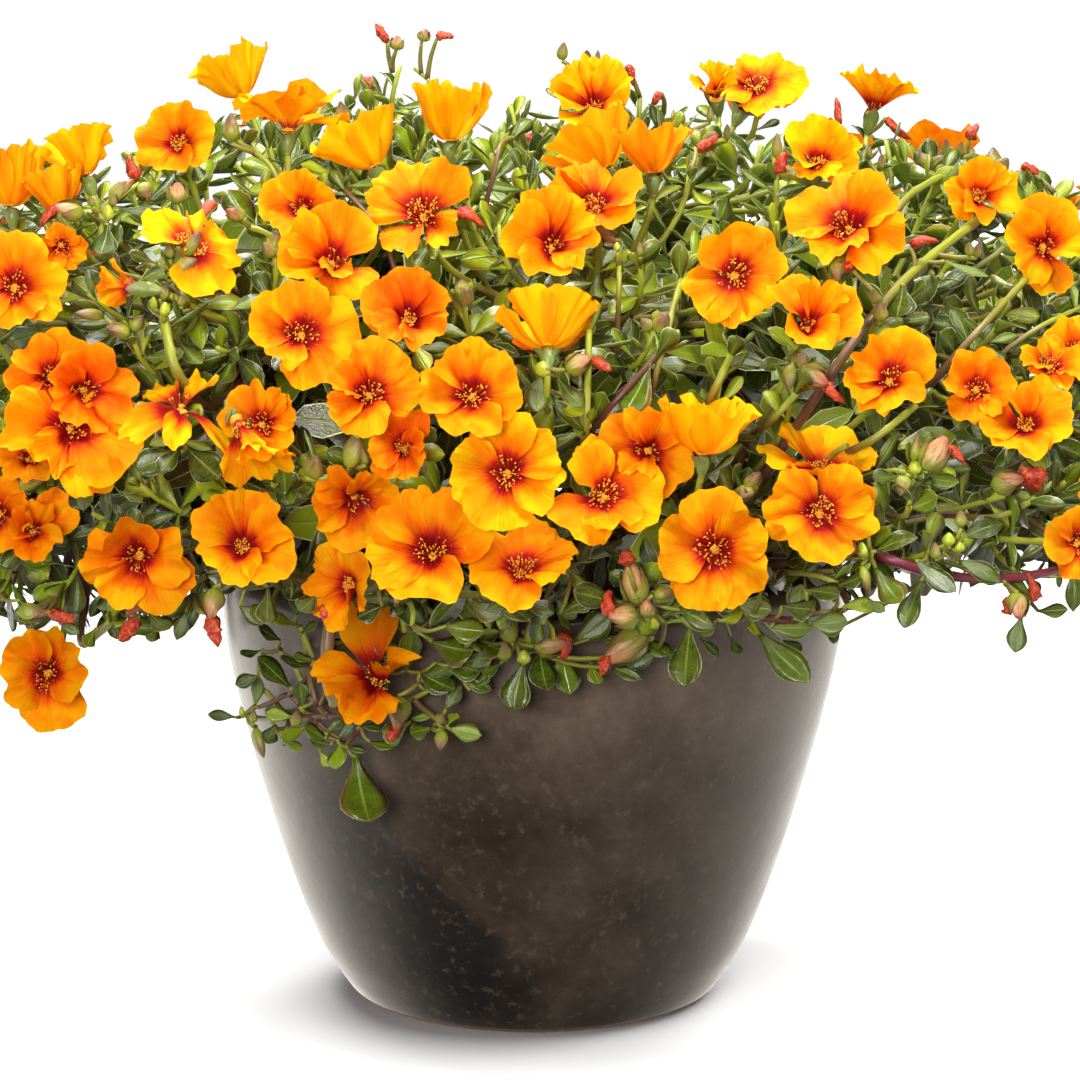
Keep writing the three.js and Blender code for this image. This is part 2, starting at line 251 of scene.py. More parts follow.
def lathe(soup, profile, sides, mat=0, cell=(0, 0, 1, 1), v=None, shape=None, place=None):
    """A turned shape about Z. profile is (radius, height); a radius of 0 at an end closes it."""
    profile = np.asarray(profile, float)
    n = len(profile)
    a = np.arange(sides) / sides * TAU
    r = np.repeat(profile[:, :1], sides, 1)
    z = np.repeat(profile[:, 1:], sides, 1)
    if shape is not None:
        r, z = shape(r, z, a[None, :])
    co = np.stack([r * np.cos(a), r * np.sin(a), z], -1).reshape(-1, 3)
    if place is not None:
        co = place(co)
    faces, corners = grid_faces(n, sides, close=True)
    v = np.linspace(0, 1, n) if v is None else np.asarray(v)
    uv = np.stack([cell[0] + cell[2] * corners[..., 1] / sides, cell[1] + cell[3] * v[corners[..., 0]]], -1)
    soup.add(co, faces, uv, mat)


def framed(at, axis, roll=0.0):
    """A function that puts local points, with Z along axis, at a place."""
    e3 = unit(axis)
    a = np.cross([0.0, 0.0, 1.0], e3)
    if np.linalg.norm(a) < 1e-3:
        a = np.array([1.0, 0.0, 0.0])
    e1 = unit(a)
    e2 = np.cross(e3, e1)
    c, s = math.cos(roll), math.sin(roll)
    m = np.stack([e1 * c + e2 * s, e2 * c - e1 * s, e3])
    return lambda co: co @ m + at


# ------------------------------------------------------------------ materials
class Nodes:
    """Short names for building a material's nodes."""

    def __init__(self, name):
        self.mat = bpy.data.materials.new(name)
        self.mat.use_nodes = True
        self.nt = self.mat.node_tree
        self.nt.nodes.clear()

    def new(self, kind, **props):
        n = self.nt.nodes.new(kind)
        for k, v in props.items():
            setattr(n, k, v)
        return n

    def link(self, a, b):
        self.nt.links.new(a, b)

    def put(self, socket, value):
        if hasattr(value, "is_output"):
            self.link(value, socket)
        else:
            socket.default_value = value

    def math(self, op, a, b=None, c=None, clamp=False):
        n = self.new("ShaderNodeMath", operation=op, use_clamp=clamp)
        self.put(n.inputs[0], a)
        if b is not None:
            self.put(n.inputs[1], b)
        if c is not None:
            self.put(n.inputs[2], c)
        return n.outputs[0]

    def step(self, x, lo, hi, to_lo=0.0, to_hi=1.0):
        n = self.new("ShaderNodeMapRange", interpolation_type="SMOOTHSTEP")
        self.put(n.inputs["Value"], x)
        for key, value in (("From Min", lo), ("From Max", hi), ("To Min", to_lo), ("To Max", to_hi)):
            self.put(n.inputs[key], value)
        return n.outputs["Result"]

    def line(self, x, lo, hi, to_lo=0.0, to_hi=1.0):
        n = self.new("ShaderNodeMapRange")
        self.put(n.inputs["Value"], x)
        for key, value in (("From Min", lo), ("From Max", hi), ("To Min", to_lo), ("To Max", to_hi)):
            self.put(n.inputs[key], value)
        return n.outputs["Result"]

    def vec(self, x=0.0, y=0.0, z=0.0):
        n = self.new("ShaderNodeCombineXYZ")
        for s, v in zip(n.inputs, (x, y, z)):
            self.put(s, v)
        return n.outputs[0]

    def split(self, v):
        n = self.new("ShaderNodeSeparateXYZ")
        self.link(v, n.inputs[0])
        return n.outputs

    def uv(self):
        return self.new("ShaderNodeUVMap", uv_map="OFBake").outputs[0]

    def object_coords(self):
        return self.new("ShaderNodeTexCoord").outputs["Object"]

    def noise(self, v, scale=1.0, detail=2.0, rough=0.5, distortion=0.0):
        n = self.new("ShaderNodeTexNoise")
        self.put(n.inputs["Vector"], v)
        n.inputs["Scale"].default_value = scale
        n.inputs["Detail"].default_value = detail
        n.inputs["Roughness"].default_value = rough
        n.inputs["Distortion"].default_value = distortion
        return n.outputs["Fac"]

    def white(self, v):
        n = self.new("ShaderNodeTexWhiteNoise", noise_dimensions="3D")
        self.link(v, n.inputs["Vector"])
        return n.outputs["Value"]

    def voronoi(self, v, scale, feature="F1", randomness=1.0):
        n = self.new("ShaderNodeTexVoronoi", feature=feature)
        self.put(n.inputs["Vector"], v)
        n.inputs["Scale"].default_value = scale
        n.inputs["Randomness"].default_value = randomness
        return n

    def ramp(self, x, stops, kind="LINEAR"):
        n = self.new("ShaderNodeValToRGB")
        n.color_ramp.interpolation = kind
        els = n.color_ramp.elements
        while len(els) < len(stops):
            els.new(0.5)
        for e, (pos, col) in zip(els, stops):
            e.position = pos
            e.color = (*col, 1.0) if len(col) == 3 else col
        self.put(n.inputs[0], x)
        return n.outputs["Color"]

    def mix(self, fac, a, b, blend="MIX"):
        n = self.new("ShaderNodeMix", data_type="RGBA", blend_type=blend)
        self.put(n.inputs["Factor"], fac)
        for s, v in ((n.inputs[6], a), (n.inputs[7], b)):
            if isinstance(v, tuple):
                v = (*v, 1.0) if len(v) == 3 else v
            self.put(s, v)
        return n.outputs[2]

    def bump(self, height, strength=0.2, distance=0.001):
        n = self.new("ShaderNodeBump")
        n.inputs["Strength"].default_value = strength
        n.inputs["Distance"].default_value = distance
        self.link(height, n.inputs["Height"])
        return n.outputs[0]

    def principled(self, colour, rough, normal=None, **fixed):
        p = self.new("ShaderNodeBsdfPrincipled")
        if isinstance(colour, tuple):
            colour = (*colour, 1.0)
        self.put(p.inputs["Base Color"], colour)
        self.put(p.inputs["Roughness"], rough)
        if normal is not None:
            self.link(normal, p.inputs["Normal"])
        for k, v in fixed.items():
            p.inputs[k.replace("_", " ")].default_value = v
        return p

    def finish(self, shader):
        out = self.new("ShaderNodeOutputMaterial")
        self.link(shader, out.inputs["Surface"])
        return self.mat


def cell_coords(m, columns, rows):
    """From the map: which cell of an atlas, and where in it (0 to 1 both ways)."""
    u, v, _ = m.split(m.uv())
    su, sv = m.math("MULTIPLY", u, columns), m.math("MULTIPLY", v, rows)
    return m.math("FLOOR", su), m.math("FLOOR", sv), m.math("FRACT", su), m.math("FRACT", sv)


LEAF_COLS, LEAF_ROWS = 8, 4          # 16 kinds of leaf: upper side in even columns, underside in odd


def leaf_material():
    m = Nodes("leaf")
    cu, cv, fu, fv = cell_coords(m, LEAF_COLS, LEAF_ROWS)
    kind = m.math("FLOOR", m.math("MULTIPLY", cu, 0.5))
    under = m.math("SUBTRACT", cu, m.math("MULTIPLY", kind, 2.0))
    number = m.math("ADD", kind, m.math("MULTIPLY", cv, 4.0))         # 0 to 15
    s = m.math("ABSOLUTE", m.math("MULTIPLY", m.math("SUBTRACT", fu, 0.5), 2.0 / 0.92))
    t = m.line(fv, 0.04, 0.96)
    pick = m.math("DIVIDE", number, 15.0)
    base = m.ramp(pick, [
        (0.00, (0.330, 0.405, 0.004)), (0.10, (0.200, 0.285, 0.004)), (0.24, (0.096, 0.146, 0.003)),
        (0.38, (0.034, 0.058, 0.003)), (0.52, (0.041, 0.065, 0.008)), (0.62, (0.017, 0.031, 0.003)),
        (0.74, (0.088, 0.126, 0.003)), (0.84, (0.028, 0.046, 0.006)), (0.93, (0.110, 0.101, 0.006)),
        (1.00, (0.086, 0.046, 0.008))])
    place = m.vec(m.math("MULTIPLY", fu, 1.1), m.math("MULTIPLY", fv, 2.2), m.math("MULTIPLY", number, 3.7))
    blotch = m.noise(place, 2.6, 3.0, 0.55)
    fine = m.noise(place, 16.0, 2.0, 0.6)
    base = m.mix(m.step(blotch, 0.35, 0.68), base, m.mix(0.32, base, (0.150, 0.220, 0.006)))
    base = m.mix(m.step(fine, 0.54, 0.72, 0.0, 0.36), base, (0.28, 0.33, 0.030))
    base = m.mix(m.math("MULTIPLY", under, 0.50), base, (0.145, 0.195, 0.030))
    # midrib, side veins, a pale thin margin lightened further as a painted highlight along the edge, and a little brown
    # at old tips
    rib = m.math("MULTIPLY", m.step(s, 0.030, 0.110, 1.0, 0.0), m.line(t, 0.0, 1.0, 0.85, 0.15))
    base = m.mix(rib, base, (0.330, 0.400, 0.075))
    slant = m.math("SUBTRACT", m.math("MULTIPLY", t, 7.0), m.math("MULTIPLY", s, 1.4))
    vein = m.math("MULTIPLY", m.step(m.math("ABSOLUTE", m.math("SUBTRACT", m.math("FRACT", slant), 0.5)), 0.0, 0.10, 0.18, 0.0), m.step(s, 0.75, 0.2))
    base = m.mix(vein, base, (0.23, 0.30, 0.040))
    # painted highlight: the thin margin is painted near white-green, partly the leaf's own pale edge and partly a
    # highlight along it
    margin_and_edge_highlight = m.math("MULTIPLY", m.step(s, 0.90, 0.98), 0.90)
    base = m.mix(margin_and_edge_highlight, base, (0.700, 0.740, 0.360))
    blush = m.math("MULTIPLY", m.math("MULTIPLY", m.step(s, 0.60, 0.90), m.step(m.white(m.vec(number, 3.0, 1.0)), 0.70, 0.72)), 0.45)
    base = m.mix(blush, base, (0.300, 0.080, 0.030))
    tip = m.math("MULTIPLY", m.step(t, 0.93, 1.0), m.step(m.noise(place, 1.3), 0.45, 0.6, 0.0, 0.8))
    base = m.mix(tip, base, (0.25, 0.10, 0.03))
    rough = m.line(blotch, 0.3, 0.7, 0.15, 0.26)
    height = m.math("ADD", m.math("MULTIPLY", m.step(s, 0.0, 0.10), 0.6), m.math("MULTIPLY", fine, 0.5))
    p = m.principled(base, rough, m.bump(height, 0.60, 0.0006), Specular_IOR_Level=0.64)
    return m.finish(p.outputs[0])


PETAL_COLS, PETAL_ROWS = 3, 2        # five petals and one cell for the rest of the flower


def petal_material(level, hue):
    """hue 0 is a yellow flower, 1 a deep orange-red one."""
    m = Nodes(f"petal_{level}")
    cu, cv, fu, fv = cell_coords(m, PETAL_COLS, PETAL_ROWS)
    number = m.math("ADD", cu, m.math("MULTIPLY", cv, 3.0))
    number = m.math("ADD", number, level * 7.0)
    s = m.math("MULTIPLY", m.math("SUBTRACT", fu, 0.5), 2.0 / 0.96)
    t = m.line(fv, 0.02, 0.98)
    rays = m.noise(m.vec(m.math("MULTIPLY", s, 6.5), m.math("MULTIPLY", t, 0.8), number), 1.9, 3.0, 0.65)
    broad = m.noise(m.vec(m.math("MULTIPLY", s, 1.0), m.math("MULTIPLY", t, 1.4), m.math("MULTIPLY", number, 2.3)), 1.7, 2.0, 0.5)
    veins = m.noise(m.vec(m.math("MULTIPLY", s, 22.0), m.math("MULTIPLY", t, 1.5), number), 1.6, 3.0, 0.6)
    reach = m.math("ADD", t, m.math("MULTIPLY", m.math("SUBTRACT", rays, 0.5), -0.22))
    reach = m.math("ADD", reach, m.math("MULTIPLY", m.math("SUBTRACT", broad, 0.5), 0.08))

    def tone(yellow, deep):
        return tuple(y + (d - y) * hue for y, d in zip(yellow, deep))

    stops = [
        (0.00, (0.260, 0.010, 0.005)),
        (0.16, (0.300, 0.005, 0.007)),
        (0.280, tone((0.340, 0.004, 0.012), (0.240, 0.003, 0.009))),
        (0.345, tone((0.470, 0.010, 0.014), (0.350, 0.007, 0.011))),
        (0.400, tone((0.760, 0.060, 0.009), (0.600, 0.026, 0.008))),
        (0.465, tone((0.930, 0.200, 0.003), (0.820, 0.068, 0.004))),
        (0.60, tone((0.975, 0.370, 0.001), (0.900, 0.112, 0.002))),
        (0.82, tone((0.990, 0.480, 0.001), (0.950, 0.158, 0.002))),
        (1.00, tone((0.995, 0.590, 0.002), (0.965, 0.240, 0.002))),
    ]
    base = m.ramp(reach, stops)
    outer = m.step(t, 0.34, 0.72)
    patch = m.math("MULTIPLY", m.step(broad, 0.44, 0.64), outer)
    base = m.mix(m.math("MULTIPLY", patch, 0.65), base, tone((0.995, 0.690, 0.003), (0.975, 0.300, 0.003)))
    warm = m.math("MULTIPLY", m.step(broad, 0.50, 0.33), m.step(t, 0.25, 0.55))
    base = m.mix(m.math("MULTIPLY", warm, 0.50), base, tone((0.960, 0.270, 0.002), (0.780, 0.055, 0.003)))
    line = m.math("MULTIPLY", m.step(veins, 0.52, 0.72), m.step(t, 0.25, 0.85, 0.50, 0.18))
    base = m.mix(line, base, tone((0.880, 0.190, 0.002), (0.560, 0.030, 0.003)))
    pale = m.math("MULTIPLY", m.step(veins, 0.46, 0.28), m.step(t, 0.35, 0.75, 0.0, 0.40))
    base = m.mix(pale, base, tone((0.995, 0.700, 0.010), (0.985, 0.330, 0.008)))
    # painted shade: a dark red line along the middle fold of some petals, the shade that falls in the crease
    crease_shade = m.math("ABSOLUTE", m.math("ADD", s, m.math("MULTIPLY", m.math("SUBTRACT", m.white(m.vec(number, 2.0, 7.0)), 0.5), 0.5)))
    crease_shade = m.math("MULTIPLY", m.step(crease_shade, 0.012, 0.040, 1.0, 0.0), m.step(reach, 0.66, 0.34))
    crease_shade = m.math("MULTIPLY", crease_shade, m.step(m.white(m.vec(number, 5.0, 1.0)), 0.30, 0.60, 0.0, 0.75))
    base = m.mix(crease_shade, base, tone((0.520, 0.030, 0.012), (0.330, 0.010, 0.010)))
    edge = m.step(t, 0.93, 1.0, 0.0, 0.40)
    base = m.mix(edge, base, tone((0.995, 0.620, 0.010), (0.985, 0.340, 0.010)))
    bump = m.bump(m.math("ADD", m.math("MULTIPLY", veins, 0.8), m.math("MULTIPLY", rays, 0.8)), 0.60, 0.0012)
    p = m.principled(base, 0.60, bump, Specular_IOR_Level=0.06)
    through = m.new("ShaderNodeBsdfTranslucent")
    lit = m.mix(1.0, base, tone((1.0, 0.66, 0.5), (1.0, 0.60, 0.5)), "MULTIPLY")
    m.link(lit, through.inputs["Color"])
    m.link(bump, through.inputs["Normal"])
    both = m.new("ShaderNodeMixShader")
    both.inputs[0].default_value = 0.32
    m.link(p.outputs[0], both.inputs[1])
    m.link(through.outputs[0], both.inputs[2])
    return m.finish(both.outputs[0])


# the flower's sixth cell, (u, v, width, height), shared out
C0 = (2 / 3, 0.5)
CW, CH = 1 / 3, 0.5
FILAMENT = (C0[0] + 0.02 * CW, C0[1] + 0.03 * CH, 0.46 * CW, 0.44 * CH)
ANTHER = (C0[0] + 0.52 * CW, C0[1] + 0.03 * CH, 0.46 * CW, 0.44 * CH)
CALYX = (C0[0] + 0.02 * CW, C0[1] + 0.53 * CH, 0.46 * CW, 0.44 * CH)
STALK = (C0[0] + 0.52 * CW, C0[1] + 0.53 * CH, 0.46 * CW, 0.44 * CH)


def in_cell(m, cell):
    u, v, _ = m.split(m.uv())
    return m.line(u, cell[0], cell[0] + cell[2]), m.line(v, cell[1], cell[1] + cell[3])


def filament_material():
    m = Nodes("filament")
    u, v = in_cell(m, FILAMENT)
    base = m.ramp(v, [(0.0, (0.30, 0.012, 0.008)), (0.35, (0.44, 0.022, 0.010)), (0.70, (0.62, 0.070, 0.012)), (1.0, (0.82, 0.23, 0.020))])
    n = m.noise(m.vec(m.math("MULTIPLY", u, 3.0), m.math("MULTIPLY", v, 5.0), 0.0), 2.0)
    base = m.mix(m.step(n, 0.4, 0.7, 0.0, 0.3), base, (0.42, 0.020, 0.008))
    return m.finish(m.principled(base, 0.5).outputs[0])


def anther_material():
    m = Nodes("anther")
    u, v = in_cell(m, ANTHER)
    n = m.noise(m.vec(m.math("MULTIPLY", u, 6.0), m.math("MULTIPLY", v, 6.0), 0.0), 2.4, 3.0, 0.7)
    base = m.ramp(n, [(0.28, (0.78, 0.23, 0.006)), (0.50, (0.95, 0.38, 0.014)), (0.70, (1.0, 0.57, 0.060))])
    return m.finish(m.principled(base, 0.75, m.bump(n, 0.5, 0.0002)).outputs[0])


def calyx_material():
    m = Nodes("calyx")
    u, v = in_cell(m, CALYX)
    n = m.noise(m.vec(m.math("MULTIPLY", u, 7.0), m.math("MULTIPLY", v, 1.6), 3.0), 2.0, 2.0)
    base = m.ramp(v, [(0.0, (0.20, 0.26, 0.045)), (0.5, (0.16, 0.24, 0.05)), (0.8, (0.24, 0.20, 0.06)), (1.0, (0.20, 0.085, 0.05))])
    base = m.mix(m.step(n, 0.45, 0.7, 0.0, 0.55), base, (0.14, 0.060, 0.040))
    return m.finish(m.principled(base, 0.40, m.bump(n, 0.3, 0.0004)).outputs[0])


def stalk_material(name, cell, young, old, red):
    """v runs from the old end to the young tip."""
    m = Nodes(name)
    u, v = in_cell(m, cell)
    along = m.noise(m.vec(m.math("MULTIPLY", u, 4.0), m.math("MULTIPLY", v, 9.0), 1.0), 1.8, 3.0, 0.6)
    streak = m.noise(m.vec(m.math("MULTIPLY", u, 13.0), m.math("MULTIPLY", v, 2.0), 5.0), 1.7, 2.0, 0.6)
    age = m.math("ADD", v, m.math("MULTIPLY", m.math("SUBTRACT", along, 0.5), 0.35))
    base = m.ramp(age, [(0.0, red), (0.30, old), (0.62, tuple((a + b) / 2 for a, b in zip(old, young))), (0.85, young), (1.0, young)])
    base = m.mix(m.step(streak, 0.50, 0.72, 0.0, 0.42), base, tuple(0.5 * c for c in old))
    base = m.mix(m.step(along, 0.62, 0.80, 0.0, 0.45), base, (0.44, 0.40, 0.10))
    rough = m.line(streak, 0.3, 0.7, 0.34, 0.50)
    p = m.principled(base, rough, m.bump(m.math("ADD", streak, along), 0.35, 0.0006))
    return m.finish(p.outputs[0])


BUD_COLS, BUD_ROWS = 4, 2            # 0-3 buds, 4-5 seed heads, 6 shrivelled petals, 7 bracts


def bud_material():
    m = Nodes("bud")
    cu, cv, fu, fv = cell_coords(m, BUD_COLS, BUD_ROWS)
    n = m.noise(m.vec(m.math("MULTIPLY", fu, 9.0), m.math("MULTIPLY", fv, 1.2), m.math("MULTIPLY", cu, 4.1)), 1.5, 3.0, 0.6)
    fine = m.noise(m.vec(m.math("MULTIPLY", fu, 22.0), m.math("MULTIPLY", fv, 5.0), cu), 1.5, 2.0, 0.6)
    high = m.math("ADD", fv, m.math("MULTIPLY", m.math("SUBTRACT", n, 0.5), 0.85))
    base = m.ramp(high, [(0.05, (0.230, 0.330, 0.014)), (0.35, (0.270, 0.290, 0.024)), (0.58, (0.230, 0.140, 0.034)), (0.78, (0.150, 0.045, 0.028)), (1.0, (0.075, 0.016, 0.018))])
    tint = m.white(m.vec(cu, cv, 2.0))
    base = m.mix(m.math("MULTIPLY", tint, 0.30), base, (0.27, 0.28, 0.050))
    base = m.mix(m.step(fine, 0.55, 0.75, 0.0, 0.28), base, (0.48, 0.38, 0.15))
    p = m.principled(base, 0.36, m.bump(m.math("ADD", n, fine), 0.5, 0.0006))
    return m.finish(p.outputs[0])


def knob_material():
    m = Nodes("green_bud")
    cu, cv, fu, fv = cell_coords(m, BUD_COLS, BUD_ROWS)
    n = m.noise(m.vec(m.math("MULTIPLY", fu, 5.0), m.math("MULTIPLY", fv, 3.0), m.math("MULTIPLY", cu, 4.1)), 1.5, 3.0, 0.6)
    base = m.ramp(n, [(0.30, (0.250, 0.360, 0.014)), (0.55, (0.420, 0.480, 0.026)), (0.75, (0.520, 0.420, 0.110))])
    return m.finish(m.principled(base, 0.38, m.bump(n, 0.4, 0.0005)).outputs[0])


def seed_head_material():
    m = Nodes("seed_head")
    cu, cv, fu, fv = cell_coords(m, BUD_COLS, BUD_ROWS)
    n = m.noise(m.vec(m.math("MULTIPLY", fu, 10.0), m.math("MULTIPLY", fv, 1.3), m.math("MULTIPLY", cu, 7.3)), 1.5, 3.0, 0.6)
    high = m.math("ADD", fv, m.math("MULTIPLY", m.math("SUBTRACT", n, 0.5), 0.6))
    base = m.ramp(high, [(0.0, (0.230, 0.280, 0.018)), (0.22, (0.310, 0.280, 0.040)), (0.50, (0.470, 0.290, 0.090)), (0.80, (0.500, 0.200, 0.090)), (1.0, (0.330, 0.045, 0.032))])
    streak = m.noise(m.vec(m.math("MULTIPLY", fu, 24.0), m.math("MULTIPLY", fv, 1.6), m.math("MULTIPLY", cu, 3.1)), 1.5, 3.0, 0.6)
    base = m.mix(m.step(n, 0.50, 0.70, 0.0, 0.7), base, (0.260, 0.085, 0.050))
    base = m.mix(m.step(n, 0.46, 0.32, 0.0, 0.6), base, (0.300, 0.300, 0.035))
    base = m.mix(m.step(streak, 0.52, 0.66, 0.0, 0.55), base, (0.150, 0.060, 0.035))
    base = m.mix(m.step(streak, 0.44, 0.32, 0.0, 0.35), base, (0.700, 0.480, 0.260))
    p = m.principled(base, 0.45, m.bump(n, 0.6, 0.0007))
    return m.finish(p.outputs[0])


def shrivelled_material():
    m = Nodes("shrivelled_petals")
    cu, cv, fu, fv = cell_coords(m, BUD_COLS, BUD_ROWS)
    n = m.noise(m.vec(m.math("MULTIPLY", fu, 8.0), m.math("MULTIPLY", fv, 5.0), 2.0), 1.8, 3.0, 0.65)
    base = m.ramp(n, [(0.28, (0.140, 0.012, 0.006)), (0.44, (0.430, 0.028, 0.010)), (0.58, (0.700, 0.085, 0.018)), (0.76, (0.880, 0.300, 0.060))])
    p = m.principled(base, 0.42, m.bump(n, 0.8, 0.0010))
    return m.finish(p.outputs[0])


def glaze_material():
    m = Nodes("pot_glaze")
    o = m.object_coords()
    x, y, z = m.split(o)
    cloud = m.noise(o, 24.0, 7.0, 0.72, 0.1)
    wide = m.noise(o, 6.0, 4.0, 0.6, 0.2)
    grain = m.noise(o, 210.0, 3.0, 0.65)
    base = m.ramp(cloud, [(0.30, (0.0240, 0.0170, 0.0115)), (0.46, (0.0440, 0.0310, 0.0215)), (0.56, (0.0600, 0.0425, 0.0300)), (0.72, (0.0900, 0.0650, 0.0475))])
    # painted light: from about 92 mm up to 145 mm the glaze turns over twice as light, brightening the upper wall that
    # the leaves overhead shade
    base = m.mix(m.step(z, 0.092, 0.145, 0.0, 1.0), base, m.mix(1.0, base, (2.15, 2.15, 2.20), "MULTIPLY"))
    # painted reflection: a large blue-black patch low on the left of the front, a dark reflection painted into the
    # glaze, its edge broken up by the glaze's clouds
    dx, dz = m.math("ADD", x, 0.036), m.math("SUBTRACT", z, 0.050)
    over = m.math("ADD", m.math("MULTIPLY", dx, 0.75), m.math("MULTIPLY", dz, 0.66))
    down = m.math("SUBTRACT", m.math("MULTIPLY", dx, 0.66), m.math("MULTIPLY", dz, 0.75))
    over = m.math("ADD", m.math("DIVIDE", m.math("MAXIMUM", over, 0.0), 0.012), m.math("DIVIDE", m.math("MINIMUM", over, 0.0), 0.036))
    dark_reflection = m.math("ADD", m.math("POWER", m.math("ABSOLUTE", over), 2.0), m.math("POWER", m.math("ABSOLUTE", m.math("DIVIDE", down, 0.056)), 2.0))
    dark_reflection = m.math("ADD", dark_reflection, m.math("MULTIPLY", m.math("SUBTRACT", cloud, 0.5), 3.0))
    front = m.step(y, -0.03, -0.06)
    base = m.mix(m.math("MULTIPLY", m.step(dark_reflection, 2.4, 0.0), m.math("MULTIPLY", front, 0.85)), base, (0.0120, 0.0115, 0.0120))
    base = m.mix(m.step(wide, 0.52, 0.72, 0.0, 0.45), base, (0.0250, 0.0200, 0.0170))
    base = m.mix(m.step(grain, 0.54, 0.72, 0.0, 0.50), base, (0.130, 0.095, 0.068))
    # pale specks where the glaze has popped, and a coppery unglazed line at the foot
    cells = m.voronoi(o, 175.0)
    spot = m.step(cells.outputs["Distance"], 0.035, 0.070, 1.0, 0.0)
    chance = m.white(m.vec(*m.split(cells.outputs["Color"])))
    spot = m.math("MULTIPLY", spot, m.step(chance, 0.80, 0.84))
    base = m.mix(m.math("MULTIPLY", spot, 0.50), base, (0.12, 0.092, 0.070))
    wavy = m.math("ADD", z, m.math("MULTIPLY", m.math("SUBTRACT", m.noise(o, 40.0, 2.0), 0.5), 0.0016))
    foot = m.step(wavy, 0.0016, 0.0030, 1.0, 0.0)
    base = m.mix(foot, base, (0.150, 0.060, 0.030))
    lip = m.step(wavy, 0.1745, 0.1770)
    base = m.mix(m.math("MULTIPLY", lip, 0.6), base, (0.075, 0.040, 0.022))
    rough = m.math("ADD", m.line(cloud, 0.3, 0.7, 0.18, 0.32), m.math("MULTIPLY", foot, 0.45))
    rough = m.math("ADD", rough, m.math("MULTIPLY", spot, 0.3), clamp=True)
    height = m.math("ADD", m.math("MULTIPLY", m.noise(o, 28.0, 3.0, 0.5), 1.0), m.math("MULTIPLY", m.noise(o, 130.0, 2.0, 0.5), 0.12))
    height = m.math("SUBTRACT", height, m.math("MULTIPLY", spot, 0.10))
    p = m.principled(base, rough, m.bump(height, 0.20, 0.0020), IOR=1.34)
    return m.finish(p.outputs[0])


def soil_material():
    m = Nodes("soil")
    o = m.object_coords()
    clod = m.noise(o, 120.0, 5.0, 0.7)
    fine = m.noise(o, 700.0, 3.0, 0.6)
    base = m.ramp(clod, [(0.30, (0.012, 0.008, 0.006)), (0.50, (0.035, 0.022, 0.014)), (0.72, (0.075, 0.048, 0.030))])
    base = m.mix(m.step(fine, 0.6, 0.75, 0.0, 0.6), base, (0.12, 0.085, 0.055))
    cells = m.voronoi(o, 190.0)
    bark = m.step(m.white(m.vec(*m.split(cells.outputs["Color"]))), 0.84, 0.86, 0.0, 0.8)
    base = m.mix(bark, base, (0.105, 0.055, 0.030))
    p = m.principled(base, 0.93, m.bump(m.math("ADD", clod, m.math("MULTIPLY", fine, 0.4)), 0.7, 0.002))
    return m.finish(p.outputs[0])


def bark_material():
    m = Nodes("crown_bark")
    o = m.object_coords()
    x, y, z = m.split(o)
    grain = m.noise(m.vec(m.math("MULTIPLY", x, 1.0), m.math("MULTIPLY", y, 1.0), m.math("MULTIPLY", z, 0.3)), 260.0, 4.0, 0.65)
    patch = m.noise(o, 70.0, 3.0, 0.6)
    base = m.ramp(grain, [(0.30, (0.055, 0.030, 0.018)), (0.52, (0.150, 0.085, 0.050)), (0.74, (0.270, 0.180, 0.110))])
    base = m.mix(m.step(patch, 0.48, 0.66, 0.0, 0.6), base, (0.165, 0.070, 0.050))
    p = m.principled(base, 0.78, m.bump(grain, 0.8, 0.0015))
    return m.finish(p.outputs[0])


def floor_material():
    m = Nodes("floor_white")
    o = m.object_coords()
    n = m.noise(o, 3.0, 2.0)
    base = m.ramp(n, [(0.3, (0.90, 0.90, 0.90)), (0.7, (0.93, 0.93, 0.93))])
    return m.finish(m.principled(base, 0.75, Specular_IOR_Level=0.1).outputs[0])


WHOLE = (0.0, 0.0, 1.0, 1.0)
HUES = [0.0, 0.14, 0.28, 0.42, 0.58, 0.78, 1.0]
LEAF = leaf_material()
PETALS = [petal_material(k, h) for k, h in enumerate(HUES)]
FILAMENTS, ANTHERS, CALYXES = filament_material(), anther_material(), calyx_material()
YOUNG, OLD, RED = (0.300, 0.340, 0.020), (0.155, 0.092, 0.022), (0.090, 0.022, 0.018)
FLOWER_STALKS = stalk_material("flower_stalk", STALK, (0.270, 0.310, 0.055), (0.240, 0.250, 0.070), (0.25, 0.15, 0.07))
TWIGS = stalk_material("twig", WHOLE, YOUNG, OLD, RED)
OLD_STEMS = stalk_material("old_stem", WHOLE, (0.270, 0.190, 0.065), (0.190, 0.085, 0.055), (0.150, 0.050, 0.042))
RED_STEM = stalk_material("red_stem", WHOLE, (0.200, 0.024, 0.042), (0.160, 0.018, 0.032), (0.110, 0.016, 0.026))
BUDS, SEED_HEADS, SHRIVELLED, KNOBS = bud_material(), seed_head_material(), shrivelled_material(), knob_material()

pieces = []


def piece(ob, slot, *nodes):
    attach(ob, "root")
    if nodes:
        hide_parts(*nodes)
    pieces.append(ob)
    return ob


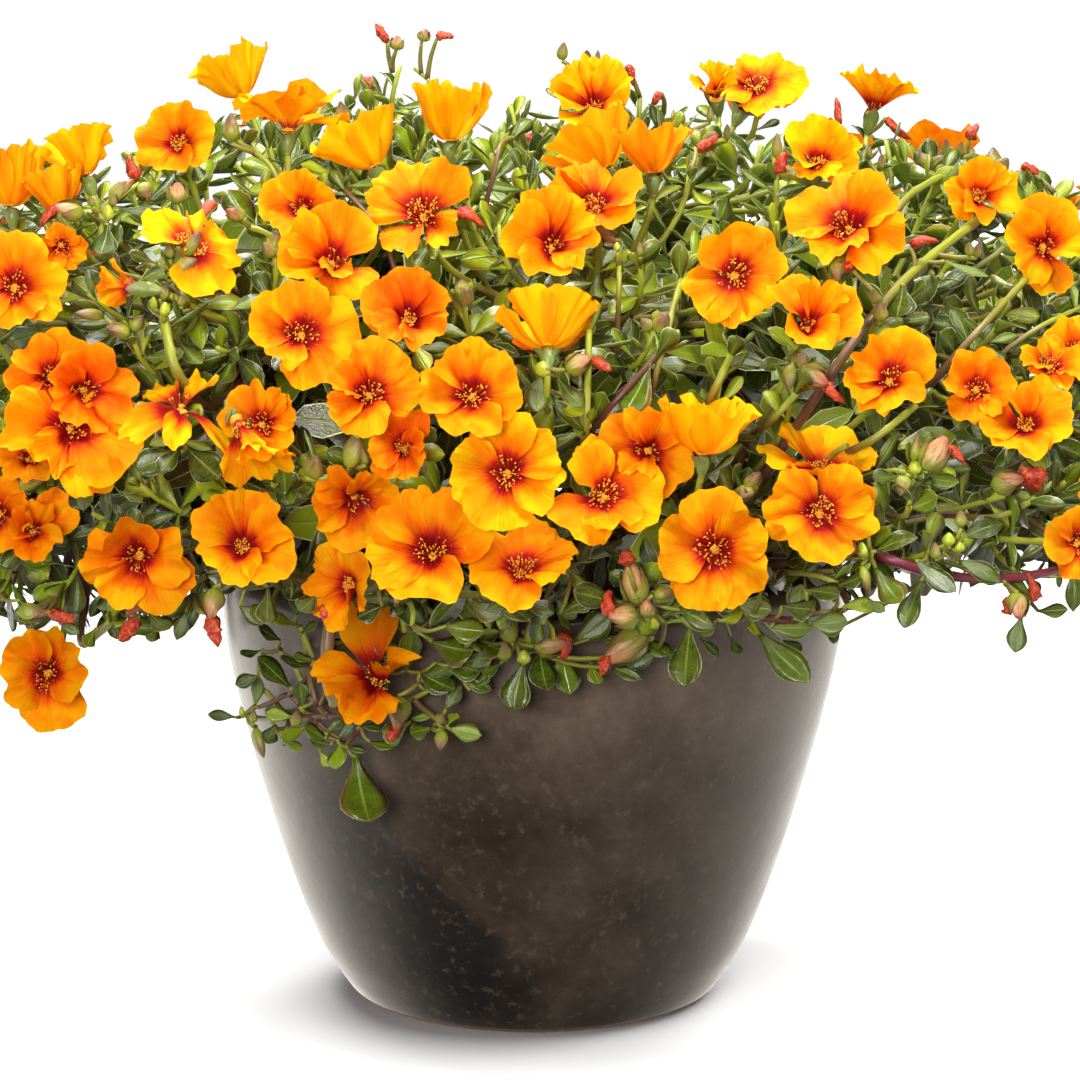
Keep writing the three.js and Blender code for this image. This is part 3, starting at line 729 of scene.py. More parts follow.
# ------------------------------------------------------------------ curves
def catmull(points, n):
    """A centripetal Catmull-Rom curve through points, as the CAD stems have."""
    p = np.asarray(points, float)
    p = np.vstack([2 * p[0] - p[1], p, 2 * p[-1] - p[-2]])
    out = []
    spans = len(p) - 3
    per = [max(2, int(round(n * 1.0 / spans)))] * spans
    for i in range(spans):
        a, b, c, d = p[i:i + 4]
        t0 = 0.0
        t1 = t0 + np.linalg.norm(b - a) ** 0.5
        t2 = t1 + np.linalg.norm(c - b) ** 0.5
        t3 = t2 + np.linalg.norm(d - c) ** 0.5
        ts = np.linspace(t1, t2, per[i], endpoint=False)[:, None]
        a1 = (t1 - ts) / (t1 - t0) * a + (ts - t0) / (t1 - t0) * b
        a2 = (t2 - ts) / (t2 - t1) * b + (ts - t1) / (t2 - t1) * c
        a3 = (t3 - ts) / (t3 - t2) * c + (ts - t2) / (t3 - t2) * d
        b1 = (t2 - ts) / (t2 - t0) * a1 + (ts - t0) / (t2 - t0) * a2
        b2 = (t3 - ts) / (t3 - t1) * a2 + (ts - t1) / (t3 - t1) * a3
        out.append((t2 - ts) / (t2 - t1) * b1 + (ts - t1) / (t2 - t1) * b2)
    out.append(p[-2:-1])
    return np.vstack(out)


def bezier(a, b, c, d, n):
    t = np.linspace(0, 1, n)[:, None]
    return (1 - t) ** 3 * a + 3 * (1 - t) ** 2 * t * b + 3 * (1 - t) * t * t * c + t ** 3 * d


def V(r, phi, z):
    return np.array([r * math.cos(phi), r * math.sin(phi), z])


def reach(phi):
    c, s = abs(math.cos(phi)) / MOUND["ax"], abs(math.sin(phi)) / MOUND["ay"]
    return (c ** 2.3 + s ** 2.3) ** (-1 / 2.3)


seeds, stem_points = [], []
for k in range(8):
    phi = (k + 0.5) / 8 * TAU
    R, z = reach(phi) * 0.80, 203 + 5 * math.sin(2.1 * k + 0.4)
    seeds.append(V(R, phi, z))
    stem_points.append([V(17, phi, 172), V(38, phi, 196), V(88, phi + 0.03, 221), V(138, phi - 0.03, 220), V(R - 8, phi, z + 4)])
for k in range(7):
    phi = (k + 0.25) / 7 * TAU + 0.12
    R, z = reach(phi) * 0.60, 292 + 4 * math.sin(1.7 * k)
    seeds.append(V(R, phi, z))
    stem_points.append([V(11, phi, 181), V(22, phi, 212), V(58, phi - 0.04, 252), V(R - 14, phi, z - 8)])
for k in range(2):
    phi = k / 2 * TAU + 0.3
    seeds.append(V(52, phi, 318))
    stem_points.append([V(4.5, phi, 184), V(12, phi + 0.1, 230), V(34, phi, 276), V(48, phi, 306)])
HANG = np.array([-72.0, -124.0, 141.0])
hang_points = [np.array(p, float) for p in [(-12.5, -12.5, 173), (-40, -46, 194), (-66, -102, 198), (-75, -127, 183), (-77, -131, 158), (-74, -128, 147)]]
seeds = np.array(seeds)
stem_curves = [catmull(p, 44) for p in stem_points]
hang_curve = catmull(hang_points, 50)

# ------------------------------------------------------------------ pot
def smooth_profile(points, n):
    return catmull(np.column_stack([points, np.zeros(len(points))]), n)[:, :2]


outer = smooth_profile(POT_OUTSIDE, 90)
rim = smooth_profile(np.array([[124.0, 174.0], [122.6, 177.0], [120.2, 178.0], [117.8, 177.0], [116.9, 174.0]]), 12)[1:-1]
inner_z = np.array([170.0, 165.0, 152.0, 137.0, 118.0, 97.0, 78.0, 58.0, 39.0, 22.0])
inner = np.column_stack([pot_radius(inner_z) - POT_WALL, inner_z])
profile = np.vstack([
    [[DRAIN_HOLE_R, FOOT_RECESS], [12.0, FOOT_RECESS], [FOOT_INNER_R - 1, FOOT_RECESS], [FOOT_INNER_R, FOOT_RECESS - 0.1], [FOOT_INNER_R + 0.7, 1.0], [FOOT_INNER_R + 1.5, 0.1], [FOOT_INNER_R + 2.5, 0.0], [70.0, 0.0]],
    outer[:-1], rim, inner,
    [[70.0, POT_FLOOR + 2.5], [62.0, POT_FLOOR], [12.0, POT_FLOOR], [DRAIN_HOLE_R, POT_FLOOR]]])
profile = np.vstack([profile, profile[:1]])
soup = Soup()
lathe(soup, profile[:-1], 168, v=np.linspace(0, 1, len(profile) - 1))
n_rows = len(profile) - 1
last = np.arange(168)
soup.more(np.stack([(n_rows - 1) * 168 + last, (n_rows - 1) * 168 + (last + 1) % 168, (last + 1) % 168, last], 1),
          np.tile([[0, 1], [0.001, 1], [0.001, 1], [0, 1]], (168, 1, 1)), 0, back=n_rows * 168)
pot = soup.build("glazed_pot", [glaze_material()])
# the pot's pattern comes from its place in space, so its own map is taken off
pot.data.uv_layers.remove(pot.data.uv_layers["OFBake"])
piece(pot, "pot_glaze", "pot")

# ------------------------------------------------------------------ soil
soup = Soup()
rings = np.linspace(0, 1, 40)
R_SOIL = float(pot_radius(SOIL_TOP)) - POT_WALL - 0.4
top_r = R_SOIL * rings[::-1]
sides = 96


def soil_height(x, y):
    h = SOIL_CROWN - (SOIL_CROWN - SOIL_TOP) * (np.hypot(x, y) / R_SOIL) ** 2
    h = h + 0.9 * np.sin(0.21 * x + 1.0) * np.cos(0.17 * y) + 0.6 * np.sin(0.43 * y + 0.3 * x) + 0.4 * np.cos(0.9 * x - 0.7 * y)
    return h - 1.4


a = np.arange(sides) / sides * TAU
side_z = np.array([POT_FLOOR + 0.3, POT_FLOOR + 0.3, POT_FLOOR + 2.9, 22.0, 58.0, 97.0, 137.0, 156.0])
side_r = np.array([20.0, 61.6, 69.4, *(pot_radius(side_z[3:]) - POT_WALL - 0.4)])
co = [np.stack([r * np.cos(a), r * np.sin(a), np.full(sides, z)], 1) for r, z in zip(side_r, side_z)]
for r in top_r[:-1]:
    x, y = r * np.cos(a), r * np.sin(a)
    co.append(np.stack([x, y, soil_height(x, y) + rng.normal(0, 0.35, sides)], 1))
rows = len(co)
co = np.concatenate(co)
faces, corners = grid_faces(rows, sides, close=True)
soup.add(np.vstack([co, [[0, 0, POT_FLOOR + 0.3]], [[0, 0, float(soil_height(0.0, 0.0))]]]), faces, np.zeros((len(faces), 4, 2)))
bottom, top_vertex = rows * sides, rows * sides + 1
k = np.arange(sides)
soup.more(np.stack([np.full(sides, bottom), (k + 1) % sides, k], 1), np.zeros((sides, 3, 2)), back=rows * sides + 2)
ring0 = (rows - 1) * sides
soup.more(np.stack([np.full(sides, top_vertex), ring0 + k, ring0 + (k + 1) % sides], 1), np.zeros((sides, 3, 2)), back=rows * sides + 2)
# crumbs of bark and clods on top
crumb_faces = np.array([[0, 1, 2], [0, 2, 3], [0, 3, 4], [0, 4, 1], [5, 2, 1], [5, 3, 2], [5, 4, 3], [5, 1, 4]])
for _ in range(520):
    r, phi = R_SOIL * 0.97 * math.sqrt(rng.uniform(0.05, 1)), rng.uniform(0, TAU)
    x, y = r * math.cos(phi), r * math.sin(phi)
    size = rng.uniform(1.0, 3.4)
    octa = np.array([[0, 0, 1], [1, 0, 0], [0, 1, 0], [-1, 0, 0], [0, -1, 0], [0, 0, -1.0]])
    octa = octa * rng.uniform(0.45, 1.2, (6, 1)) * size * np.array([1, rng.uniform(0.5, 1), 0.6])
    turn = np.array(Matrix.Rotation(rng.uniform(0, TAU), 3, (rng.normal(), rng.normal(), 1.0)))
    soup.add(octa @ turn.T + [x, y, float(soil_height(x, y)) + 0.3 * size], crumb_faces, np.zeros((8, 3, 2)))
soil = soup.build("potting_mix", [soil_material()])
soil.data.uv_layers.remove(soil.data.uv_layers["OFBake"])
piece(soil, "soil", "potting_soil")

# ------------------------------------------------------------------ root crown
soup = Soup()
nlat, nlon = 30, 44
lat = np.linspace(0.02, math.pi - 0.02, nlat)
lon = np.arange(nlon) / nlon * TAU
d = np.stack([np.sin(lat)[:, None] * np.cos(lon), np.sin(lat)[:, None] * np.sin(lon), np.cos(lat)[:, None] * np.ones(nlon)], -1)
knob = 1 + 0.07 * np.sin(5 * d[..., 0] + 2) * np.cos(4 * d[..., 1]) + 0.05 * np.sin(6 * d[..., 2] + 3 * d[..., 1])
knob = knob + 0.035 * np.sin(11 * lon[None, :] + 3 * np.cos(5 * lat)[:, None]) * np.sin(lat)[:, None] + rng.normal(0, 0.008, knob.shape)
co = d * knob[..., None] * np.array([CROWN_R, CROWN_R, CROWN_HALF_HEIGHT]) + [0, 0, CROWN_Z]
faces, corners = grid_faces(nlat, nlon, close=True)
soup.add(co.reshape(-1, 3), faces[:, ::-1], np.zeros((len(faces), 4, 2)))
soup.more([np.arange(nlon)], np.zeros((1, nlon, 2)), back=nlat * nlon)
soup.more([np.arange(nlon)[::-1] + (nlat - 1) * nlon], np.zeros((1, nlon, 2)), back=nlat * nlon)
crown = soup.build("woody_crown", [bark_material()])
crown.data.uv_layers.remove(crown.data.uv_layers["OFBake"])
piece(crown, "crown_bark", "root_crown")


# ------------------------------------------------------------------ main stems
def knobbly(phase, count):
    def f(t, a):
        near = np.abs(((t * count + phase) % 1.0) - 0.5) * 2
        return 1 + 0.16 * np.exp(-((1 - near) / 0.16) ** 2) + 0.03 * np.sin(3 * a + 9 * t + phase)
    return f


for k, curve in enumerate(stem_curves):
    soup = Soup()
    n = len(curve)
    radii = np.linspace(STEM_R, STEM_TIP_R, n)
    length = np.linalg.norm(np.diff(curve, axis=0), axis=1).sum()
    tube(soup, curve, radii, 10, knots=knobbly(0.37 * k, length / 16))
    piece(soup.build(f"fleshy_stem_{k + 1:02d}", [OLD_STEMS]), "stem", f"main_stem_{k + 1:02d}")
soup = Soup()
tube(soup, hang_curve, np.linspace(STEM_R, STEM_TIP_R, len(hang_curve)), 10, knots=knobbly(0.2, 11))
piece(soup.build("fleshy_stem_18", [OLD_STEMS]), "stem", "trailing_stem")

# ------------------------------------------------------------------ flowers: where
# eye x and y in the frame, span in pixels, facing right, up and towards the viewer, cup depth, colour 0 yellow to 1 deep
SEEN = [
    (243,95,70,-.40,.88,0,.85,0),(289,131,100,.05,.97,-.08,.35,.25),(182,146,82,0,.45,.85,.7,.3),(86,174,58,-.3,.92,0,.9,0),
    (12,205,62,-.05,.95,0,.9,.25),(60,208,50,-.3,.85,0,.8,.25),(374,166,75,-.5,.85,0,.75,0),(449,139,75,.02,.95,.16,.75,0),
    (595,114,85,0,.55,.8,.7,.2),(606,168,70,-.5,.8,-.15,.4,.45),(652,172,65,-.05,.9,.05,.9,.6),(597,214,100,.2,.4,.8,.5,.55),
    (716,98,45,-.2,.9,.1,.8,0),(758,93,102,.15,.35,.85,.4,.15),(872,114,75,.15,.95,.15,.75,.2),(816,170,80,.1,.5,.8,.6,0),
    (974,199,80,.3,.4,.5,.7,.35),(1042,248,95,.05,.15,.95,.45,.35),(850,233,125,0,.35,.9,.35,.4),(734,277,105,0,.15,.95,.3,.35),
    (806,332,92,.1,.75,.6,.85,.35),(889,383,92,.1,.25,.9,.5,.45),(976,391,80,-.15,.1,.95,.5,.5),(1025,429,105,.05,.6,.75,.65,.4),
    (1048,372,70,.2,.5,.5,.5,.35),(1076,356,70,.2,.3,.8,.5,.4),(551,250,108,-.05,.2,.95,.5,.3),(425,219,112,-.05,.15,.95,.2,.25),
    (305,209,80,.15,.1,.95,.45,.35),(332,267,100,-.35,.35,.8,.5,.3),(187,253,100,0,.4,.7,.3,.05),(140,288,65,-.85,.3,-.1,.8,.4),
    (14,289,115,-.1,.15,.95,.3,.25),(60,245,75,.2,.5,.6,.5,.6),(548,347,98,0,.86,-.42,.52,.12),(300,337,125,0,.35,.9,.35,.35),
    (408,325,95,0,.3,.9,.6,.75),(368,398,92,-.1,.2,.95,.4,.6),(473,398,108,0,.15,.97,.3,.45),(405,448,70,.15,0,.95,.7,.85),
    (508,475,115,0,.15,.97,.25,.2),(602,500,120,-.05,.4,.9,.35,.35),(649,451,90,-.1,.1,.95,.4,.65),(703,452,100,.05,.93,.25,.65,.1),
    (715,549,122,0,.05,1,.2,.4),(818,480,110,0,.8,.3,.4,.2),(819,514,118,0,.05,1,.35,.4),(434,557,120,.05,.15,.95,.35,.4),
    (354,494,85,0,-.35,.9,.5,.6),(244,552,98,.05,.35,.9,.65,.45),(140,555,115,0,0,1,.3,.5),(520,577,100,-.05,.35,.9,.4,.3),
    (359,585,75,-.6,.1,.5,.6,.4),(376,684,115,.1,.3,.8,.5,.45),(49,673,95,.05,0,1,.3,.45),(33,533,75,-.1,.1,.9,.6,.5),
    (0,514,80,-.1,.1,.9,.5,.55),(1076,543,75,.2,0,.9,.5,.5),(51,379,82,-.05,.2,.9,.5,.65),(82,390,95,.1,.1,.95,.45,.7),
    (181,414,100,-.1,.75,.45,.1,.05),(236,420,70,.4,-.2,.4,.7,.2),(263,426,75,.1,.1,.95,.35,.45),(70,431,135,0,.1,.95,.1,.25),
    (104,426,70,.3,.3,.6,.5,.65),(30,462,70,-.1,.3,.8,.5,.35)]
# flowers that stand behind or in front of a neighbour, in mm along the sight line (towards the viewer is positive)
FORWARD = {42: -14, 48: -9, 52: -8, 58: -12, 59: -10, 64: -16, 65: -12, 9: -16, 12: -10, 45: -20, 33: -8, 22: -5, 37: 4, 39: -4, 5: -10, 61: 6, 10: 6, 23: 5, 36: -6, 29: -4}
# the CAD flowers, in the order flower_01 to flower_15: their number in SEEN, then eye, facing, half span and cup depth
CAD_FLOWERS = [
    (18, 115.3, -157.7, 330.8, 0.000, -0.836, 0.548, 22.8, 0.35), (26, 6.7, -180.9, 328.1, -0.051, -0.913, 0.404, 19.4, 0.5),
    (27, -38.8, -164.4, 336.9, -0.052, -0.932, 0.357, 20.3, 0.2), (35, -82.2, -209.0, 301.2, 0.000, -0.836, 0.548, 22.2, 0.35),
    (38, -20.8, -222.8, 281.8, 0.000, -0.935, 0.355, 19.0, 0.3), (41, 24.7, -227.6, 246.1, -0.051, -0.808, 0.587, 21.2, 0.35),
    (44, 64.8, -225.2, 227.9, 0.000, -0.967, 0.256, 21.6, 0.2), (46, 101.6, -221.9, 239.9, 0.000, -0.967, 0.256, 20.9, 0.35),
    (47, -34.8, -221.7, 224.3, 0.052, -0.932, 0.357, 21.3, 0.35), (50, -141.1, -197.5, 219.8, 0.000, -0.978, 0.208, 20.8, 0.3),
    (63, -166.1, -190.8, 263.9, 0.000, -0.951, 0.309, 24.4, 0.1), (19, 72.1, -189.6, 319.7, 0.000, -0.934, 0.358, 18.8, 0.3),
    (17, 189.0, -119.3, 319.4, 0.052, -0.932, 0.357, 17.7, 0.45), (32, -188.3, -160.3, 310.6, -0.103, -0.929, 0.356, 21.0, 0.3),
    (8, 24.1, -31.9, 358.4, 0.000, -0.688, 0.725, 16.5, 0.7)]
AROUND = [(0.24, 0.05, 20, 0.35, 10), (1.0, 0.55, 19, 0.4, 10), (1.25, 0.1, 20, 0.3, 22), (2.1, 0.4, 21, 0.25, 10), (2.9, 0.05, 20, 0.35, 10)]


# where each petal ends, right and up from the flower's eye in the frame
TIPS = {
   
    2: [(-47, -8), (-25, 36), (18, 40), (34, 2), (-6, -29)],
   
    8: [(-46, 18), (-26, 50), (4, 60), (34, 40), (0, -20)],
    12: [(-26, 13), (-13, 37), (5, 33), (15, 15), (-5, 10)], 13: [(12, 42), (50, 4), (16, -20), (-49, 0), (-31, 28)],
    14: [(-30, 42), (-13, 44), (2, 41), (18, 34), (45, 25)], 15: [(-18, 52), (23, 46), (44, 15), (-24, 10), (0, -10)],
    16: [(-3, 40), (30, 32), (47, 8), (-29, -8), (-3, -22)], 17: [(6, 54), (-35, 24), (-20, -30), (4, -48), (40, 5)],
    18: [(-28, 54), (38, 50), (-68, 19), (-22, -28), (45, -20)], 19: [(-10, 50), (40, 40), (28, -38), (-10, -51), (-40, -34)],
    20: [(-30, 55), (0, 50), (33, 46), (57, 17), (0, -14)], 21: [(30, 50), (-32, 36), (-46, -5), (-18, -32), (18, -24)],
    22: [(0, 45), (-32, 18), (-15, -32), (10, -30), (38, 10)], 23: [(-50, 8), (-14, 42), (38, 42), (45, 10), (-12, -25)],
    26: [(-46, 30), (-2, 64), (38, 44), (42, -8), (-10, -30)], 27: [(-28, 58), (31, 58), (-62, 13), (-27, -36), (32, -20)],
    28: [(-12, 38), (26, 20), (22, -22), (-24, -28), (-46, 12)], 29: [(22, 62), (-44, 38), (-52, 0), (30, -38), (10, -10)],
    30: [(-45, 35), (-15, 44), (20, 30), (50, 5), (30, -45)], 32: [(10, 58), (55, -10), (15, -38), (-40, -20), (-35, 30)],
    35: [(-50, 22), (0, 57), (62, 2), (12, -52), (-20, -28)],
    36: [(0, 60), (36, 42), (34, -14), (-48, 22), (-20, -14)], 37: [(20, 58), (50, 30), (-34, 22), (-36, -12), (-18, -34)],
    38: [(-55, 5), (-32, 45), (20, 55), (50, 10), (-6, -42)], 39: [(2, 44), (20, 10), (12, -26), (-22, -32), (-36, -5)],
    40: [(-8, 65), (50, 32), (52, -14), (-20, -55), (-59, 10)], 41: [(-20, 55), (10, 61), (64, 5), (15, -30), (-40, -30)],
    42: [(-52, 19), (-10, 43), (20, 35), (35, -35), (-20, -25)],
    44: [(-8, 62), (40, 28), (40, -45), (-20, -62), (-60, 0)], 45: [(-60, 22), (-28, 58), (0, 10), (25, 50), (57, 18)],
    46: [(-47, 30), (46, 35), (60, 5), (-12, -46), (-57, -2)], 47: [(0, 72), (-40, 62), (-65, -8), (-10, -45), (42, 55)],
    48: [(6, -60), (-40, -20), (45, 5), (-30, 15), (20, 18)], 49: [(-38, 54), (6, 66), (45, 35), (42, -22), (-22, -24)],
    50: [(-12, 32), (-58, -8), (-30, -48), (42, -50), (50, 0)], 51: [(-6, 54), (45, 42), (50, 5), (-10, -28), (-54, 10)],
    52: [(-52, 12), (-50, -22), (-20, -45), (-30, 45), (10, 10)], 53: [(-6, 90), (-58, 2), (-35, -25), (-10, -36), (23, 30)],
    54: [(-30, 38), (22, 40), (38, -8), (5, -60), (-45, -15)], 55: [(40, 35), (-20, 10), (0, -28), (30, -10), (10, 30)],
    58: [(-42, -5), (-25, 35), (32, 42), (30, -5), (0, -35)], 59: [(10, 45), (58, -10), (50, -35), (0, -40), (-25, 5)],
    60: [(-38, 28), (25, 38), (-54, -26), (3, -34), (52, -46)], 61: [(38, -56), (30, -60), (46, -48), (22, -40), (44, -36)],
    62: [(-15, 44), (20, 35), (33, 20), (12, -33), (-38, 28)], 63: [(-65, 0), (-17, -38), (26, -68), (68, -30), (-15, 25)],
    31: [(-43, 12), (-40, -14), (-25, 24), (-20, -8), (-38, 0)],
    33: [(-16, -20), (14, 16), (28, -8), (-8, 18), (20, -22)],
    11: [(-52, 30), (-20, 52), (20, 46), (44, 22), (8, -16)]}


class Flower:
    def __init__(self, eye, facing, R, cup, hue, style="", node=None, seen=None):
        self.eye, self.facing, self.R, self.cup, self.hue = np.array(eye, float), unit(facing), R, cup, hue
        self.style, self.node, self.seen, self.petals = style, node, seen, None

    def fit(self, ends, most_turn):
        """Turn the flower, and lift each petal, so that its petals end where they are seen to."""
        _, _, depth = project(self.eye)
        p = np.array(ends, float) * depth / FOCAL
        flat = np.hypot(p[:, 0], p[:, 1])
        L = max(flat.max() * 1.04, self.R * 0.80)
        w = np.sqrt(np.maximum(L * L - flat ** 2, 0))
        both = np.stack([RIGHT * p[:, :1] + UP * p[:, 1:] - FWD * (sign * w)[:, None] for sign in (1, -1)], 1)
        lift = math.atan(0.12 + 0.5 * self.cup + 1.1 * self.cup ** 2)
        best = None
        a = unit(np.cross(self.facing, [0.2, 0.9, 0.37]))
        b = np.cross(self.facing, a)
        for turn in np.radians(np.arange(0, most_turn + 1, 4.0)):
            around = np.arange(0, TAU, TAU / 16) if turn else [0.0]
            for phi in around:
                n = self.facing * math.cos(turn) + (a * math.cos(phi) + b * math.sin(phi)) * math.sin(turn)
                rise = np.arcsin(np.clip(both @ n / L, -1, 1))
                pick = np.argmin(np.abs(rise - lift), 1)
                rise = rise[np.arange(len(p)), pick]
                ends3 = both[np.arange(len(p)), pick]
                e1 = unit(np.cross(n, [0.3, 0.2, 0.93]))
                e2 = np.cross(n, e1)
                az = np.sort(np.arctan2(ends3 @ e2, ends3 @ e1))
                gaps = np.append(np.diff(az), az[0] + TAU - az[-1])
                cost = (((rise - lift) / 0.35) ** 2).sum() + 0.5 * (((gaps - TAU / 5) / 0.52) ** 2).sum() + (turn / 0.42) ** 2
                if best is None or cost < best[0]:
                    best = (cost, n, ends3, rise)
        _, n, ends3, rise = best
        self.facing = unit(n)
        frame_of = framed(np.zeros(3), self.facing, 0.0)
        m = frame_of(np.eye(3))
        az = np.arctan2(ends3 @ m[1], ends3 @ m[0])
        order = np.argsort(az)
        az, rise = az[order], np.clip(rise[order], -0.45, 1.25)
        gaps = np.append(np.diff(az), az[0] + TAU - az[-1])
        mean_gap = np.clip((gaps + np.roll(gaps, 1)) / 2, 0.75, 1.55)
        half = np.clip(0.65 * mean_gap / np.cos(np.clip(rise, -0.2, 1.1)) ** 0.52, 0.55, 1.15)
        if self.style == "star":
            half = np.full(5, 0.36)
        if self.style == "apart":
            half = np.full(5, 0.60)
        if self.style == "fan":
            half = np.full(5, 0.98)
        if self.seen == 53:
            half = np.minimum(half, 0.72)
        self.petals = list(zip(az, np.tan(rise), np.full(len(az), L), half))
        self.R = max(L * math.cos(lift), 0.55 * L)


def from_outside(f, lift, length, half):
    """A cup whose two nearest petals show their outer faces."""
    m = framed(np.zeros(3), f.facing, 0.0)(np.eye(3))
    near = math.atan2(-FWD @ m[1], -FWD @ m[0])
    f.petals = [(near + math.radians(d), math.tan(math.radians(lift + more)), length, half) for d, more in ((-40, 3), (32, 0), (104, -4), (176, -8), (248, -2))]


# cups that are seen from outside: how far their petals rise, in degrees, and how long they are in mm
OUTSIDE = {0: (53, 24), 1: (24, 24.5), 3: (54, 21.5), 4: (61, 26), 5: (54, 19), 6: (48, 25), 7: (58, 26), 9: (45, 25.5), 10: (52, 22.5), 34: (44, 24.5), 43: (49, 25)}
flowers = []
cad_seen = {f[0]: (k + 1, f) for k, f in enumerate(CAD_FLOWERS)}
STYLES = {12: "fan", 14: "fan", 27: "apart", 60: "star", 63: "wavy"}
for i, (x, y, span, a, b, c, cup, hue) in enumerate(SEEN):
    style = STYLES.get(i, "")
    if i in cad_seen:
        k, f = cad_seen[i]
        flowers.append(Flower(f[1:4], f[4:7], f[7], f[8], hue, style, f"flower_{k:02d}", i))
    else:
        if i == 53:
            p = on_pot(x, y, 20.0)
        else:
            p = on_mound(x, y, 12.0) - ray(x, y) * FORWARD.get(i, 0)
        depth = (p - EYE) @ FWD
        flowers.append(Flower(p, seen_axis(a, b, c), span / 2 * depth / FOCAL, cup, hue, style, None, i))
    if i in TIPS:
        flowers[-1].fit(TIPS[i], 12 if i in cad_seen else 36)
    if i in OUTSIDE:
        from_outside(flowers[-1], *OUTSIDE[i], 0.92)
for k, (phi, tilt, R, cup, off) in enumerate(AROUND):
    d = np.array([math.cos(phi) * math.cos(tilt), math.sin(phi) * math.cos(tilt), math.sin(tilt)])
    at = d * (mound_radius(d) + off) + MIDDLE
    flowers.append(Flower(at, d + [0, 0, 0.35], R, cup, float(rng.uniform(0.15, 0.5)), "", f"flower_{k + 16:02d}"))

# the sides, the back and the top that the picture doesn't show
LOW, HIGH = cad_box if isinstance(cad_box, tuple) else (cad_box[0], cad_box[1])
tries = 0
placed = 0
while placed < 58 and tries < 20000:
    tries += 1
    d = unit(rng.normal(size=3) * [1, 1, 0.75])
    if d[2] < -0.28:
        continue
    p = MIDDLE + d * (mound_radius(d) + rng.uniform(3, 10))
    n = mound_normal(p)
    x, y, _ = project(p)
    facing_us = n @ -FWD
    if facing_us > -0.10 and -10 < x < 1090:
        continue                                  # the picture shows this side, with its own flowers
    if 0 < x < 1080 and y < 150 or -60 < x < 1140 and y > 600:
        continue
    if p[2] < 160 or np.hypot(p[0], p[1]) < 150 and p[2] < 200:
        continue
    if any(np.linalg.norm(p - f.eye) < 38 for f in flowers):
        continue
    up = 0.25 + 0.5 * rng.random()
    face = unit(n + np.array([0, 0, up]) + rng.normal(0, 0.18, 3))
    cup = float(rng.choice([0.2, 0.3, 0.35, 0.45, 0.6, 0.8]))
    flowers.append(Flower(p, face, float(rng.uniform(16, 22)) * (0.86 if cup > 0.5 else 1), cup, float(rng.choice([0.05, 0.2, 0.35, 0.4, 0.5, 0.65]))))
    placed += 1
F_EYE = np.array([f.eye for f in flowers])
F_DIR = np.array([f.facing for f in flowers])
F_R = np.array([f.R for f in flowers])
F_HIGH = np.array([f.R * (0.12 + 0.5 * f.cup + 1.1 * f.cup ** 2) for f in flowers])
F_X, F_Y, F_Z = project(F_EYE)


# ------------------------------------------------------------------ flowers: shape
def midline(ratio, flare, start=1.25):
    """Radius, height and slope along a petal of length 1, whose height is ratio times its reach."""
    u = np.linspace(0, 1, 41)

    def run(end):
        slope = end + (start - end) * np.exp(-u / (0.17 if start > 1 else 0.24)) - flare * u * u
        step = np.diff(u)
        mid = (slope[1:] + slope[:-1]) / 2
        r = np.concatenate([[0], np.cumsum(np.cos(mid) * step)])
        z = np.concatenate([[0], np.cumsum(np.sin(mid) * step)])
        return r, z, slope

    lo, hi = -0.9, 1.6 if start > 1 else 2.3
    for _ in range(30):
        end = (lo + hi) / 2
        r, z, slope = run(end)
        if z[-1] / max(r[-1], 1e-3) < ratio:
            lo = end
        else:
            hi = end
    return u, r, z, slope, end


